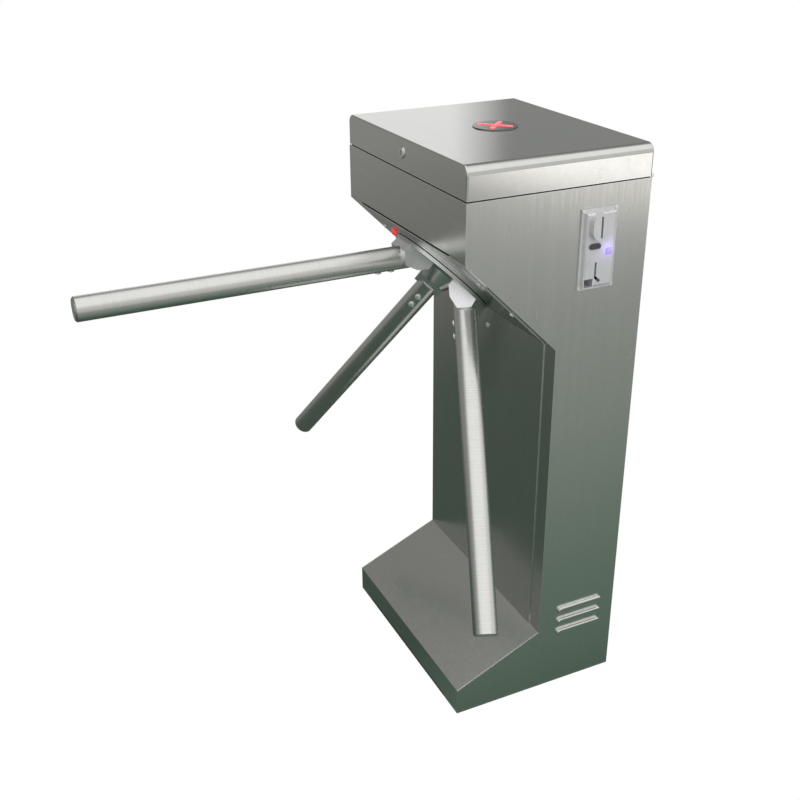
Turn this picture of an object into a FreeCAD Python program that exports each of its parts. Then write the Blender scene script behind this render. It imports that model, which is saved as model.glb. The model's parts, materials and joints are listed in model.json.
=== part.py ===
import FreeCAD, Part
import math
import os
import re
import Sketcher

# Tripod turnstile for counting visitors, with a coin acceptor on its right side.
# Frame: millimetres, +Z up, origin on the floor at the centre of the cabinet's footprint.
# -Y is the passage side, where the tripod turns, and +X is the side with the coin acceptor.
# The tripod's axis leans forward and down at 45 degrees, and each arm stands at 45 degrees to it,
# so that the arm that bars the way is level while the other two hang clear.

SIZES = {
    # cabinet
    "width": 420, "depth": 320, "height": 980,
    "sheet": 1.5, "flange": 50, "base_thick": 3,
    "lid_skirt": 50, "lid_gap": 2, "lid_round": 14, "lid_edge_round": 3,
    "head_front": 92, "slope_run": 164, "foot_front": 50, "foot_rise": 72,
    "cover_margin": 32, "cover_gap": 0.8, "rear_margin": 10, "top_return": 30,
    "gasket_inset": 3, "gasket_wide": 10, "gasket_tall": 1.8,
    "anchor_x": 280, "anchor_y": 220, "anchor_hole": 7, "cable_hole": 30,
    # ventilation louvres in the right side panel
    "louvre_low": 111, "louvre_step": 24, "louvre_y": 86, "louvre_long": 92,
    "louvre_tall": 14, "louvre_proud": 6, "louvre_round": 3,
    # screws that hold the covers
    "screw": 2, "screw_head": 4.5, "screw_head_tall": 2.2, "screw_long": 9,
    "cover_screw_inset": 9, "cover_screw_u": 42, "column_screw_drop": 32,
    # hub: heights are measured along the axis from the slope's face
    "hub_tilt": 45, "hub_upslope": 6, "apex_depth": 41.8, "axle_hole": 28,
    "bezel_radius": 98, "bezel_bore": 60, "bezel_tall": 5,
    "disc_radius": 95, "disc_gap": 1.5, "disc_thick": 5.5,
    "shaft_radius": 12.5, "shaft_flange": 25, "shaft_flange_tall": 6, "shaft_collar": 17,
    "shaft_nose": 12, "shaft_tail": 3,
    "dome_radius": 36, "dome_top": 22, "dome_tall": 20.5, "bolt_radius": 5, "bolt_head": 9,
    "bolt_head_tall": 6, "bolt_sunk": 8, "bolt_long": 42,
    "socket_in": 38, "socket_step": 22, "socket_waist": 53, "socket_waist_top": 36,
    "socket_peak": 76, "socket_peak_top": 43, "socket_lip": 94, "socket_lip_top": 28,
    "socket_out": 92, "socket_half": 25, "socket_seat": 7, "stub_root": 12.5, "stub_long": 72,
    "tube_radius": 19, "tube_wall": 1.5, "tube_clear": 0.8, "arm_length": 631,
    "cap_tall": 4, "cap_plug": 15, "cap_chamfer": 2.5, "stub_gap": 0.1,
    "arm_screw": 2.5, "arm_screw_head": 5.5, "arm_screw_tall": 3, "arm_screw_deep": 10,
    "arm_screw_near": 129, "arm_screw_pitch": 23,
    # bearings and their housing
    "plate_thick": 8, "plate_margin": 10, "plate_half_u": 95,
    "housing_flange": 60, "housing_flange_tall": 10, "housing_barrel": 36, "housing_long": 66,
    "bearing_outer": 26, "bearing_wide": 15, "bearing_drop": 5.5, "bearing_span": 25,
    "ring_inner": 16.5, "ring_outer": 21.5, "ball_gap": 0.05, "ball_count": 9, "shoulder": 22,
    # indexing, locking and sensing plate under the housing
    "carrier_thick": 6, "carrier_half_x": 100, "carrier_half_u": 110, "carrier_hole": 30,
    "pillar_radius": 8, "pillar_reach": 80,
    "cam_drop": 14, "cam_radius": 44, "cam_valley": 39, "cam_thick": 12, "boss_radius": 16,
    "lock_drop": 36, "lock_radius": 48, "lock_thick": 8, "lock_boss": 14,
    "notch_wide": 12, "notch_deep": 9.5, "nut_radius": 19, "nut_tall": 8,
    "roller_radius": 9, "roller_tall": 10, "roller_gap": 0.5, "running_gap": 0.05,
    "axle_radius": 4, "lever_thick": 6, "lever_half": 10, "lever_long": 60, "lever_offset": 4.5,
    "pivot_radius": 5, "pivot_tail": 3,
    "spring_radius": 8, "spring_wire": 1, "spring_pitch": 3, "spring_turns": 4,
    "pawl_reach": 66, "pawl_half": 8, "pawl_long": 60, "tooth_half": 3.5, "tooth_shift": 1.2,
    "tooth_gap": 0.8, "plunger_radius": 5, "plunger_long": 22, "plunger_gap": 0.5,
    "solenoid_start": 84, "solenoid_long": 28, "solenoid_half": 15, "solenoid_tall": 43.5,
    "sensor_post": 60, "sensor_half": 10, "sensor_thick": 10, "sensor_reach": 18,
    "sensor_gap": 2.5, "sensor_wall": 4,
    # lid, hinges and lock
    "display_x": -5, "display_y": 8, "display_radius": 38, "display_lip": 4, "display_proud": 1.5,
    "display_deep": 14,
    "hinge_x": 185, "hinge_half": 20, "knuckle_half": 6.5, "knuckle_gap": 0.5,
    "knuckle_radius": 3.5, "hinge_pin": 2, "hinge_out": 4.2, "leaf_thick": 2, "leaf_tall": 32,
    "leaf_relief": 4, "hinge_pin_over": 1,
    "lock_height": 957, "lock_face": 9.5, "lock_face_tall": 2.5, "lock_body": 8, "lock_deep": 22,
    "plug_radius": 5, "key_wide": 1.6, "key_deep": 2, "cam_plate": 2, "cam_half": 6, "cam_long": 20,
    "keeper_gap": 0.5, "keeper_start": 12, "keeper_post": 24, "keeper_foot": 16, "keeper_half": 7,
    "keeper_thick": 2,
    # red lamp on the slope
    "lamp_x": -107, "lamp_u": 55, "lamp_radius": 7, "lamp_rim": 9, "lamp_rim_tall": 1.2,
    "lamp_shoulder": 0.9, "lamp_crown_low": 0.7, "lamp_crown": 0.5, "lamp_top": 1.1,
    # coin acceptor
    "coin_y": 66.75, "coin_z": 830, "coin_wide": 63.5, "coin_tall": 127, "coin_base": 3,
    "coin_raise": 7, "coin_inset": 5, "coin_bevel": 4, "cutout_inset": 4,
    "boss_y": 61.5, "boss_z": 868, "boss_half_y": 15, "boss_long": 42, "boss_proud": 9,
    "slot_wide": 3.5, "slot_tall": 33, "slot_deep": 20,
    "button_y": 56.6, "button_z": 837, "button_wide": 20, "button_tall": 8.5, "button_proud": 2.5,
    "button_travel": 3, "button_gap": 0.25,
    "light_y": 82.5, "light_z": 826, "light_side": 11,
    "hook_y": 60.6, "hook_top": 811, "hook_turn": 788, "hook_run": 9, "hook_deep": 10.5,
    "cup_y": 49, "cup_z": 779, "cup_wide": 18, "cup_tall": 16, "cup_deep": 28, "cup_wall": 1.2,
    "coin_screw": 1.5, "coin_screw_head": 3, "coin_screw_tall": 1.5, "coin_screw_inset": 2.6,
    "validator_low": 20, "validator_deep": 58, "validator_gap": 1.5,
    "chute_in": 50, "chute_y": 56, "chute_wide": 22, "chute_low": 625,
    "box_in": 100, "box_wide": 90, "box_front": 21, "box_rear": 30, "box_low": 480, "box_tall": 140,
    # electrical units
    "board_gap": 5.5, "board_thick": 1.6, "board_y": 20, "board_long": 100, "board_z": 700,
    "board_tall": 160, "standoff_radius": 3, "standoff_inset": 8, "relay_high": 16, "relay_side": 28,
    "supply_front": 26, "supply_rear": 20, "supply_z": 500, "supply_tall": 98, "supply_deep": 38,
    "counter_half": 30, "counter_deep": 44, "counter_rise": 30, "counter_tall": 36,
    "counter_window": 18, "counter_window_deep": 2,
}

# places worked out from the sizes
FRONT = "(-depth/2)"
REAR = "(depth/2)"
BODY_TOP = "(height - lid_skirt - lid_gap)"
SLOPE_TOP = f"({BODY_TOP} - head_front)"
SLOPE_FOOT = f"({SLOPE_TOP} - slope_run)"
COLUMN_Y = "(slope_run - depth/2)"
FOOT_TOP = "(foot_front + foot_rise)"
FOOT_GRADE = "(foot_rise/slope_run)"
FOOT_SET = f"(sheet*({FOOT_GRADE} - sqrt(1 + {FOOT_GRADE}^2)))"
HALF_SLOPE = "(slope_run*sqrt(0.5))"
HUB_Y = "(-depth/2 + slope_run/2 - hub_upslope*sqrt(0.5))"
HUB_Z = f"({SLOPE_TOP} - slope_run/2 + hub_upslope*sqrt(0.5))"
SIDE_X = "(width/2)"
COVER_HALF = f"({SIDE_X} - cover_margin)"
PLATE_HALF = f"({SIDE_X} - plate_margin)"

# heights along the hub's axis
DISC_LOW = "(sheet + bezel_tall + disc_gap)"
DISC_TOP = f"({DISC_LOW} + disc_thick)"
TUBE_START = f"(({DISC_TOP} + apex_depth)*sqrt(2) + tube_radius + tube_clear)"
PLATE_LOW = "(-sheet - plate_thick)"
BEARING_TOP = f"({PLATE_LOW} - bearing_drop)"
BEARING_LOW = f"({BEARING_TOP} - 2*bearing_wide - bearing_span)"
CARRIER_TOP = f"({PLATE_LOW} - housing_long)"
CARRIER_LOW = f"({CARRIER_TOP} - carrier_thick)"
CAM_TOP = f"({BEARING_LOW} - cam_drop)"
LOCK_TOP = f"({BEARING_LOW} - lock_drop)"
LOCK_LOW = f"({LOCK_TOP} - lock_thick)"
NUT_TOP = f"({LOCK_LOW} - lock_boss)"
ROLLER_X = "(cam_radius + roller_gap + roller_radius)"
LEVER_TOP = f"({CAM_TOP} - cam_thick - 1)"

# faces of the coin acceptor
COIN_FACE = f"({SIDE_X} + coin_base + coin_raise)"
COIN_LOW = "(coin_z - coin_tall/2)"

# units inside the column
CHUTE_X = f"({SIDE_X} - chute_in)"
BOX_X = f"({SIDE_X} - box_in)"
BOX_Y = (f"({COLUMN_Y} + box_front)", f"({REAR} - box_rear)")
SUPPLY_Y = (f"({COLUMN_Y} + supply_front)", f"({REAR} - supply_rear)")
COUNTER_Z = f"({SLOPE_FOOT} + counter_rise)"

# hinge line of the lid and the axis of its lock
HINGE_Y = f"({REAR} + hinge_out)"
HINGE_Z = f"({BODY_TOP} + lid_gap/2)"

# frames
FLOOR = "placement(vector(0; 0; 0); rotation(vector(0; 0; 1); 0))"
HUB = f"placement(vector(0; {HUB_Y}; {HUB_Z}); rotation(vector(1; 0; 0); 90 + hub_tilt))"

doc = FreeCAD.newDocument("Turnstile")
sheet = doc.addObject("Spreadsheet::Sheet", "Sizes")
for row, (name, value) in enumerate(SIZES.items(), start=1):
    sheet.set(f"A{row}", name)
    sheet.set(f"B{row}", str(value))
    sheet.setAlias(f"B{row}", name)
doc.recompute()

nodes = []


def formula(text):
    """A formula in size names, written so that FreeCAD reads them from the sheet."""
    return re.sub(r"[a-z_]+", lambda found: "Sizes." + found[0] if found[0] in SIZES else found[0], text)


def bind(item, **formulas):
    """Ties properties of an object to formulas in size names."""
    for name, text in formulas.items():
        item.setExpression(name, formula(text))
    return item


def place(item, frame, x="0", y="0", z="0"):
    """Sets an object in a frame, moved by x, y and z along the frame's own axes."""
    shift = f"placement(vector({x}; {y}; {z}); rotation(vector(0; 0; 1); 0))"
    item.setExpression("Placement", formula(f"{frame} * {shift}"))
    return item


def keep(item, label):
    """Makes an object a sub-part of its own, with a file of that name."""
    item.Label = label
    nodes.append(item)
    return item


# ---------------------------------------------------------------- primitives

def box(frame, low, high):
    """A block between two corners given in the frame."""
    item = doc.addObject("Part::Box", "Block")
    spans = [f"{b} - ({a})" for a, b in zip(low, high)]
    bind(item, Length=spans[0], Width=spans[1], Height=spans[2])
    return place(item, frame, *low)


def cylinder(frame, radius, start, tall, x="0", y="0"):
    """A round bar along the frame's Z axis."""
    item = doc.addObject("Part::Cylinder", "Bar")
    bind(item, Radius=radius, Height=tall)
    return place(item, frame, x, y, start)


def cut(base, *tools):
    item = doc.addObject("Part::Cut", "Cut")
    item.Base = base
    item.Tool = tools[0] if len(tools) == 1 else group(*tools)
    return item


def fuse(*pieces):
    item = doc.addObject("Part::MultiFuse", "Fused")
    item.Shapes = list(pieces)
    return item


def group(*pieces):
    """Separate solids that share one node."""
    item = doc.addObject("Part::Compound", "Group")
    item.Links = list(pieces)
    return item


def round_edges(base, radius, wanted, inside=0):
    """Rounds the edges that the test called wanted picks out; inside is a wall the radius loses."""
    doc.recompute()
    item = doc.addObject("Part::Fillet", "Rounded")
    item.Base = base
    reach = base.Shape.BoundBox
    size = SIZES[radius] - inside
    item.Edges = [
        (number, size, size)
        for number, edge in enumerate(base.Shape.Edges, start=1)
        if wanted(edge.BoundBox, reach)
    ]
    return item


# ---------------------------------------------------------------- sketched features

def new_body(frame):
    body = doc.addObject("PartDesign::Body", "Body")
    body.setExpression("Placement", formula(frame))
    return body


def new_sketch(body, plane, offset="0"):
    sketch = body.newObject("Sketcher::SketchObject", "Outline")
    support = next(item for item in body.Origin.OriginFeatures if item.Role == plane)
    sketch.AttachmentSupport = [(support, "")]
    sketch.MapMode = "FlatFace"
    sketch.setExpression("AttachmentOffset.Base.z", formula(offset))
    return sketch


def fix_point(sketch, piece, point, across, up):
    """Ties a point of a sketch to two formulas, measured from the sketch's origin."""
    found = sketch.getPoint(piece, point)
    for kind, start, text in (("DistanceX", found.x, across), ("DistanceY", found.y, up)):
        number = sketch.addConstraint(Sketcher.Constraint(kind, -1, 1, piece, point, start))
        sketch.setExpression(f"Constraints[{number}]", formula(text))


def outline(sketch, corners):
    """A closed outline of straight lines through the corners, each corner a pair of formulas."""
    count = len(corners)
    ring = [
        FreeCAD.Vector(math.cos(2 * math.pi * i / count), math.sin(2 * math.pi * i / count), 0)
        for i in range(count)
    ]
    first = sketch.GeometryCount
    for i in range(count):
        sketch.addGeometry(Part.LineSegment(ring[i], ring[(i + 1) % count]))
    for i in range(count):
        sketch.addConstraint(
            Sketcher.Constraint("Coincident", first + i, 2, first + (i + 1) % count, 1)
        )
    for i, (across, up) in enumerate(corners):
        fix_point(sketch, first + i, 1, across, up)


def circle(sketch, radius, across="0", up="0"):
    piece = sketch.addGeometry(Part.Circle(FreeCAD.Vector(1, 1, 0), FreeCAD.Vector(0, 0, 1), 1))
    fix_point(sketch, piece, 3, across, up)
    number = sketch.addConstraint(Sketcher.Constraint("Radius", piece, 1))
    sketch.setExpression(f"Constraints[{number}]", formula(radius))


def rectangle(low_x, low_y, high_x, high_y):
    """The four corners of a rectangle, for outline()."""
    return [(low_x, low_y), (high_x, low_y), (high_x, high_y), (low_x, high_y)]


def pad(body, sketch, length, downward=False):
    feature = body.newObject("PartDesign::Pad", "Pad")
    feature.Profile = sketch
    feature.Reversed = downward
    return bind(feature, Length=length)


def pocket(body, sketch, length, upward=False):
    """Cuts a sketch into the body, against the sketch's normal unless it is upward."""
    before = solid_volume(body)
    feature = body.newObject("PartDesign::Pocket", "Pocket")
    feature.Profile = sketch
    feature.Reversed = upward
    bind(feature, Length=length)
    if solid_volume(body) >= before:
        raise RuntimeError(f"a pocket in {body.Label} cuts nothing")
    return feature


def repeat_around(body, feature, count):
    """Repeats a feature about the body's Z axis."""
    pattern = body.newObject("PartDesign::PolarPattern", "Pattern")
    pattern.Originals = [feature]
    pattern.Axis = (next(i for i in body.Origin.OriginFeatures if i.Role == "Z_Axis"), [""])
    pattern.Angle = 360
    pattern.Occurrences = count
    body.Tip = pattern
    return pattern


def solid_volume(body):
    doc.recompute()
    return body.Shape.Volume


def plate(frame, corners, start, thick, holes=()):
    """A flat piece in the frame's XY plane with round holes, each a radius and a centre."""
    body = new_body(frame)
    sketch = new_sketch(body, "XY_Plane", start)
    outline(sketch, corners)
    for hole in holes:
        circle(sketch, *hole)
    pad(body, sketch, thick)
    return body


def turned(frame, corners):
    """A piece turned about the frame's Z axis, each corner a radius and a height."""
    body = new_body(frame)
    sketch = new_sketch(body, "XZ_Plane")
    outline(sketch, corners)
    feature = body.newObject("PartDesign::Revolution", "Turned")
    feature.Profile = sketch
    feature.ReferenceAxis = (sketch, ["V_Axis"])
    return body


def tube_profile(inner, outer, low, high):
    """The section of a plain ring, for turned()."""
    return rectangle(inner, low, outer, high)


def turn_about_hub(degrees):
    """The hub's frame turned about its own axis."""
    return f"{HUB} * placement(vector(0; 0; 0); rotation(vector(0; 0; 1); {degrees}))"


def arm_frame(number):
    """Z runs out along an arm, from the point on the hub's axis where the three arms meet."""
    lean = "placement(vector(0; 0; -apex_depth); rotation(vector(1; 0; 0); -hub_tilt))"
    return f"{turn_about_hub(120 * number)} * {lean}"


# ---------------------------------------------------------------- cabinet

def side_panel(side):
    """A folded tray: one flat side with flanges along the slope, column, back, top and bottom."""
    inner = f"({SIDE_X} - flange)" if side > 0 else f"(flange - {SIDE_X})"
    body = new_body(f"placement(vector({inner}; 0; 0); rotation(vector(0; 0; 1); 0))")
    outer = new_sketch(body, "YZ_Plane")
    outline(outer, [
        (FRONT, "base_thick"), (REAR, "base_thick"), (REAR, BODY_TOP), (FRONT, BODY_TOP),
        (FRONT, SLOPE_TOP), (COLUMN_Y, SLOPE_FOOT), (COLUMN_Y, FOOT_TOP), (FRONT, "foot_front"),
    ])
    pad(body, outer, "flange", downward=side < 0)
    hollow = new_sketch(body, "YZ_Plane")
    past = f"({FRONT} - sheet)"
    outline(hollow, [
        (past, "base_thick + sheet"), (f"{REAR} - sheet", "base_thick + sheet"),
        (f"{REAR} - sheet", f"{BODY_TOP} - sheet"), (past, f"{BODY_TOP} - sheet"),
        (past, f"{SLOPE_TOP} + sheet + sheet*sqrt(2)"),
        (f"{COLUMN_Y} + sheet", f"{SLOPE_FOOT} + sheet*sqrt(2) - sheet"),
        (f"{COLUMN_Y} + sheet", FOOT_TOP), (past, FOOT_TOP),
    ])
    pocket(body, hollow, "flange - sheet", upward=side > 0)
    return body


def coin_cutout():
    """The opening in the right side panel behind the coin acceptor."""
    return box(
        FLOOR,
        (f"{SIDE_X} - 2*sheet", "coin_y - coin_wide/2 + cutout_inset", f"{COIN_LOW} + cutout_inset"),
        (f"{SIDE_X} + sheet", "coin_y + coin_wide/2 - cutout_inset",
         f"{COIN_LOW} + coin_tall - cutout_inset"),
    )


def capsule(sketch, across, up, long, tall):
    """A slot with half-round ends, centred on (across, up)."""
    vector = FreeCAD.Vector
    axis = vector(0, 0, 1)
    left = f"{across} - ({long} - ({tall}))/2"
    right = f"{across} + ({long} - ({tall}))/2"
    low = f"{up} - ({tall})/2"
    high = f"{up} + ({tall})/2"
    under = sketch.addGeometry(Part.LineSegment(vector(-5, -2, 0), vector(5, -2, 0)))
    over = sketch.addGeometry(Part.LineSegment(vector(5, 2, 0), vector(-5, 2, 0)))
    for piece, point, x, y in ((under, 1, left, low), (under, 2, right, low),
                               (over, 1, right, high), (over, 2, left, high)):
        fix_point(sketch, piece, point, x, y)
    for side, start, first, last in ((right, -math.pi/2, under, over), (left, math.pi/2, over, under)):
        middle = vector(5 if start < 0 else -5, 0, 0)
        arc = sketch.addGeometry(Part.ArcOfCircle(Part.Circle(middle, axis, 2), start, start + math.pi))
        sketch.addConstraint(Sketcher.Constraint("Coincident", first, 2, arc, 1))
        sketch.addConstraint(Sketcher.Constraint("Coincident", arc, 2, last, 1))
        number = sketch.addConstraint(Sketcher.Constraint("DistanceX", -1, 1, arc, 3, middle.x))
        sketch.setExpression(f"Constraints[{number}]", formula(side))


def louvre(number):
    """One hood, pressed out of the panel and open along its bottom, and the hollow behind it."""
    level = f"(louvre_low + {number}*louvre_step)"
    hood = new_body(FLOOR)
    shell = new_sketch(hood, "YZ_Plane", SIDE_X)
    capsule(shell, "louvre_y", level, "louvre_long", "louvre_tall")
    pad(hood, shell, "louvre_proud")
    rounded = round_edges(hood, "louvre_round", lambda edge, reach: edge.XMin > reach.XMax - 0.01)
    space = new_body(FLOOR)
    inside = new_sketch(space, "YZ_Plane", f"{SIDE_X} - 2*sheet")
    capsule(inside, "louvre_y", level, "louvre_long - 2*sheet", "louvre_tall - 2*sheet")
    pad(space, inside, "louvre_proud + sheet")
    mouth = box(
        FLOOR,
        (SIDE_X, "louvre_y - louvre_long/2 + louvre_tall/2", f"{level} - louvre_tall/2 - sheet"),
        (f"{SIDE_X} + louvre_proud - sheet", "louvre_y + louvre_long/2 - louvre_tall/2", level),
    )
    return rounded, space, mouth


def cover_screw_frames():
    """Where the screws of the slope panel stand: local Z points out of the slope."""
    for side in (-1, 1):
        for end in (-1, 1):
            across = f"{side}*({COVER_HALF} - cover_screw_inset)"
            spot = f"placement(vector({across}; {end}*cover_screw_u; 0); rotation(vector(0; 0; 1); 0))"
            yield side, f"{HUB} * {spot}"


COLUMN_SCREW = (
    f"placement(vector(0; {COLUMN_Y}; {SLOPE_FOOT} - column_screw_drop); "
    "rotation(vector(1; 0; 0); 90))"
)


def screw_shank(frame):
    return cylinder(frame, "screw", "sheet - screw_long", "screw_long")


def slope_shanks(side):
    return [screw_shank(frame) for which, frame in cover_screw_frames() if which == side]


def build_cabinet():
    anchor = [
        ("anchor_hole", f"{a}*anchor_x/2", f"{b}*anchor_y/2") for a in (-1, 1) for b in (-1, 1)
    ]
    keep(plate(FLOOR, rectangle(f"-{SIDE_X}", FRONT, SIDE_X, REAR), "0", "base_thick",
               anchor + [("cable_hole",)]), "base_plate")
    keep(cut(side_panel(-1), *slope_shanks(-1)), "side_panel_left")
    hoods = [louvre(number) for number in range(3)]
    cover = fuse(side_panel(1), *[hood for hood, _, _ in hoods])
    hollows = [hollow for _, space, mouth in hoods for hollow in (space, mouth)]
    keep(cut(cover, *hollows, coin_cutout(), *slope_shanks(1)), "side_panel_right")
    inside = f"({SIDE_X} - sheet)"
    keep(fuse(
        box(FLOOR, (f"-{inside}", FRONT, f"{SLOPE_TOP} + sheet*sqrt(2)"),
            (inside, f"{FRONT} + sheet", f"{BODY_TOP} - sheet")),
        box(FLOOR, (f"flange - {SIDE_X}", FRONT, f"{BODY_TOP} - sheet"),
            (f"{SIDE_X} - flange", f"{FRONT} + top_return", BODY_TOP)),
    ), "head_front_panel")
    slope_low = f"(-{HALF_SLOPE} - hub_upslope + cover_gap)"
    slope_high = f"({HALF_SLOPE} - hub_upslope - cover_gap)"
    slope = plate(HUB, rectangle(f"-{COVER_HALF}", slope_low, COVER_HALF, slope_high),
                  "0", "sheet", [("axle_hole",), ("lamp_radius", "lamp_x", "lamp_u")])
    keep(cut(slope, *slope_shanks(-1), *slope_shanks(1)), "slope_panel")
    keep(cut(
        box(FLOOR, (f"-{COVER_HALF}", f"{COLUMN_Y} - sheet", f"{FOOT_TOP} + cover_gap"),
            (COVER_HALF, COLUMN_Y, f"{SLOPE_FOOT} - cover_gap")),
        screw_shank(COLUMN_SCREW)), "column_cover")
    foot = new_body(f"placement(vector(-{inside}; 0; 0); rotation(vector(0; 0; 1); 0))")
    bend = new_sketch(foot, "YZ_Plane")
    outline(bend, [
        (COLUMN_Y, FOOT_TOP), (FRONT, "foot_front"), (FRONT, "base_thick + sheet"),
        (f"{FRONT} + sheet", "base_thick + sheet"),
        (f"{FRONT} + sheet", f"foot_front + {FOOT_SET}"),
        (COLUMN_Y, f"{FOOT_TOP} + {FOOT_SET} - sheet*{FOOT_GRADE}"),
    ])
    pad(foot, bend, f"2*{inside}")
    keep(foot, "foot_cover")
    keep(box(FLOOR, (f"rear_margin - {SIDE_X}", f"{REAR} - 2*sheet", "base_thick + sheet"),
             (f"{SIDE_X} - rear_margin", f"{REAR} - sheet", f"{BODY_TOP} - sheet")), "back_panel")
    inset = "gasket_inset"
    ring = "(gasket_inset + gasket_wide)"
    keep(cut(
        box(FLOOR, (f"{inset} - {SIDE_X}", f"{FRONT} + {inset}", BODY_TOP),
            (f"{SIDE_X} - {inset}", f"{REAR} - {inset}", f"{BODY_TOP} + gasket_tall")),
        box(FLOOR, (f"{ring} - {SIDE_X}", f"{FRONT} + {ring}", f"{BODY_TOP} - sheet"),
            (f"{SIDE_X} - {ring}", f"{REAR} - {ring}", f"{BODY_TOP} + 2*gasket_tall")),
    ), "lid_gasket")


# ---------------------------------------------------------------- hub and tripod

def build_hub_fixed():
    keep(turned(HUB, tube_profile("bezel_bore", "bezel_radius", "sheet", "sheet + bezel_tall")),
         "hub_bezel")
    keep(turned(HUB + " * placement(vector(lamp_x; lamp_u; 0); rotation(vector(0; 0; 1); 0))", [
        ("0", "-sheet"), ("lamp_radius", "-sheet"), ("lamp_radius", "sheet"), ("lamp_rim", "sheet"),
        ("lamp_rim", "sheet + lamp_rim_tall"), ("lamp_radius", "sheet + lamp_rim_tall"),
        ("lamp_radius*lamp_shoulder", "sheet + lamp_radius*lamp_crown_low"),
        ("lamp_radius*lamp_crown", "sheet + lamp_radius"), ("0", "sheet + lamp_radius*lamp_top"),
    ]), "indicator_lamp")
    base = plate(HUB, rectangle(f"-{PLATE_HALF}", "-plate_half_u", PLATE_HALF, "plate_half_u"),
                 PLATE_LOW, "plate_thick", [("axle_hole",)])
    keep(cut(base, *slope_shanks(-1), *slope_shanks(1)), "mechanism_plate")
    keep(turned(HUB, [
        ("bearing_outer", PLATE_LOW), ("housing_flange", PLATE_LOW),
        ("housing_flange", f"{PLATE_LOW} - housing_flange_tall"),
        ("housing_barrel", f"{PLATE_LOW} - housing_flange_tall"), ("housing_barrel", CARRIER_TOP),
        ("bearing_outer", CARRIER_TOP), ("bearing_outer", f"{BEARING_LOW} + bearing_wide"),
        ("shoulder", f"{BEARING_LOW} + bearing_wide"), ("shoulder", f"{BEARING_TOP} - bearing_wide"),
        ("bearing_outer", f"{BEARING_TOP} - bearing_wide"),
    ]), "bearing_housing")
    rows = [BEARING_LOW, f"({BEARING_TOP} - bearing_wide)"]
    keep(group(*[
        turned(HUB, tube_profile("ring_outer", "bearing_outer", low, f"{low} + bearing_wide"))
        for low in rows
    ]), "bearing_outer_rings")
    races = [
        turned(HUB, tube_profile("shaft_radius", "ring_inner", low, f"{low} + bearing_wide"))
        for low in rows
    ]
    balls = []
    for low in rows:
        for number in range(SIZES["ball_count"]):
            ball = doc.addObject("Part::Sphere", "Ball")
            bind(ball, Radius="(ring_outer - ring_inner)/2 - ball_gap")
            spot = turn_about_hub(f"{number}*360/ball_count")
            balls.append(place(ball, spot, "(ring_outer + ring_inner)/2", "0", f"{low} + bearing_wide/2"))
    keep(group(*races, *balls), "bearing_inner_rings")
    corners = [(f"{a}*pillar_reach", f"{b}*pillar_reach") for a in (-1, 1) for b in (-1, 1)]
    keep(group(*[
        cylinder(HUB, "pillar_radius", CARRIER_TOP, "housing_long", x, y) for x, y in corners
    ]), "mechanism_pillars")
    keep(plate(HUB, rectangle("-carrier_half_x", "-carrier_half_u", "carrier_half_x",
                              "carrier_half_u"),
               CARRIER_LOW, "carrier_thick", [("carrier_hole",)]), "carrier_plate")


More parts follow.
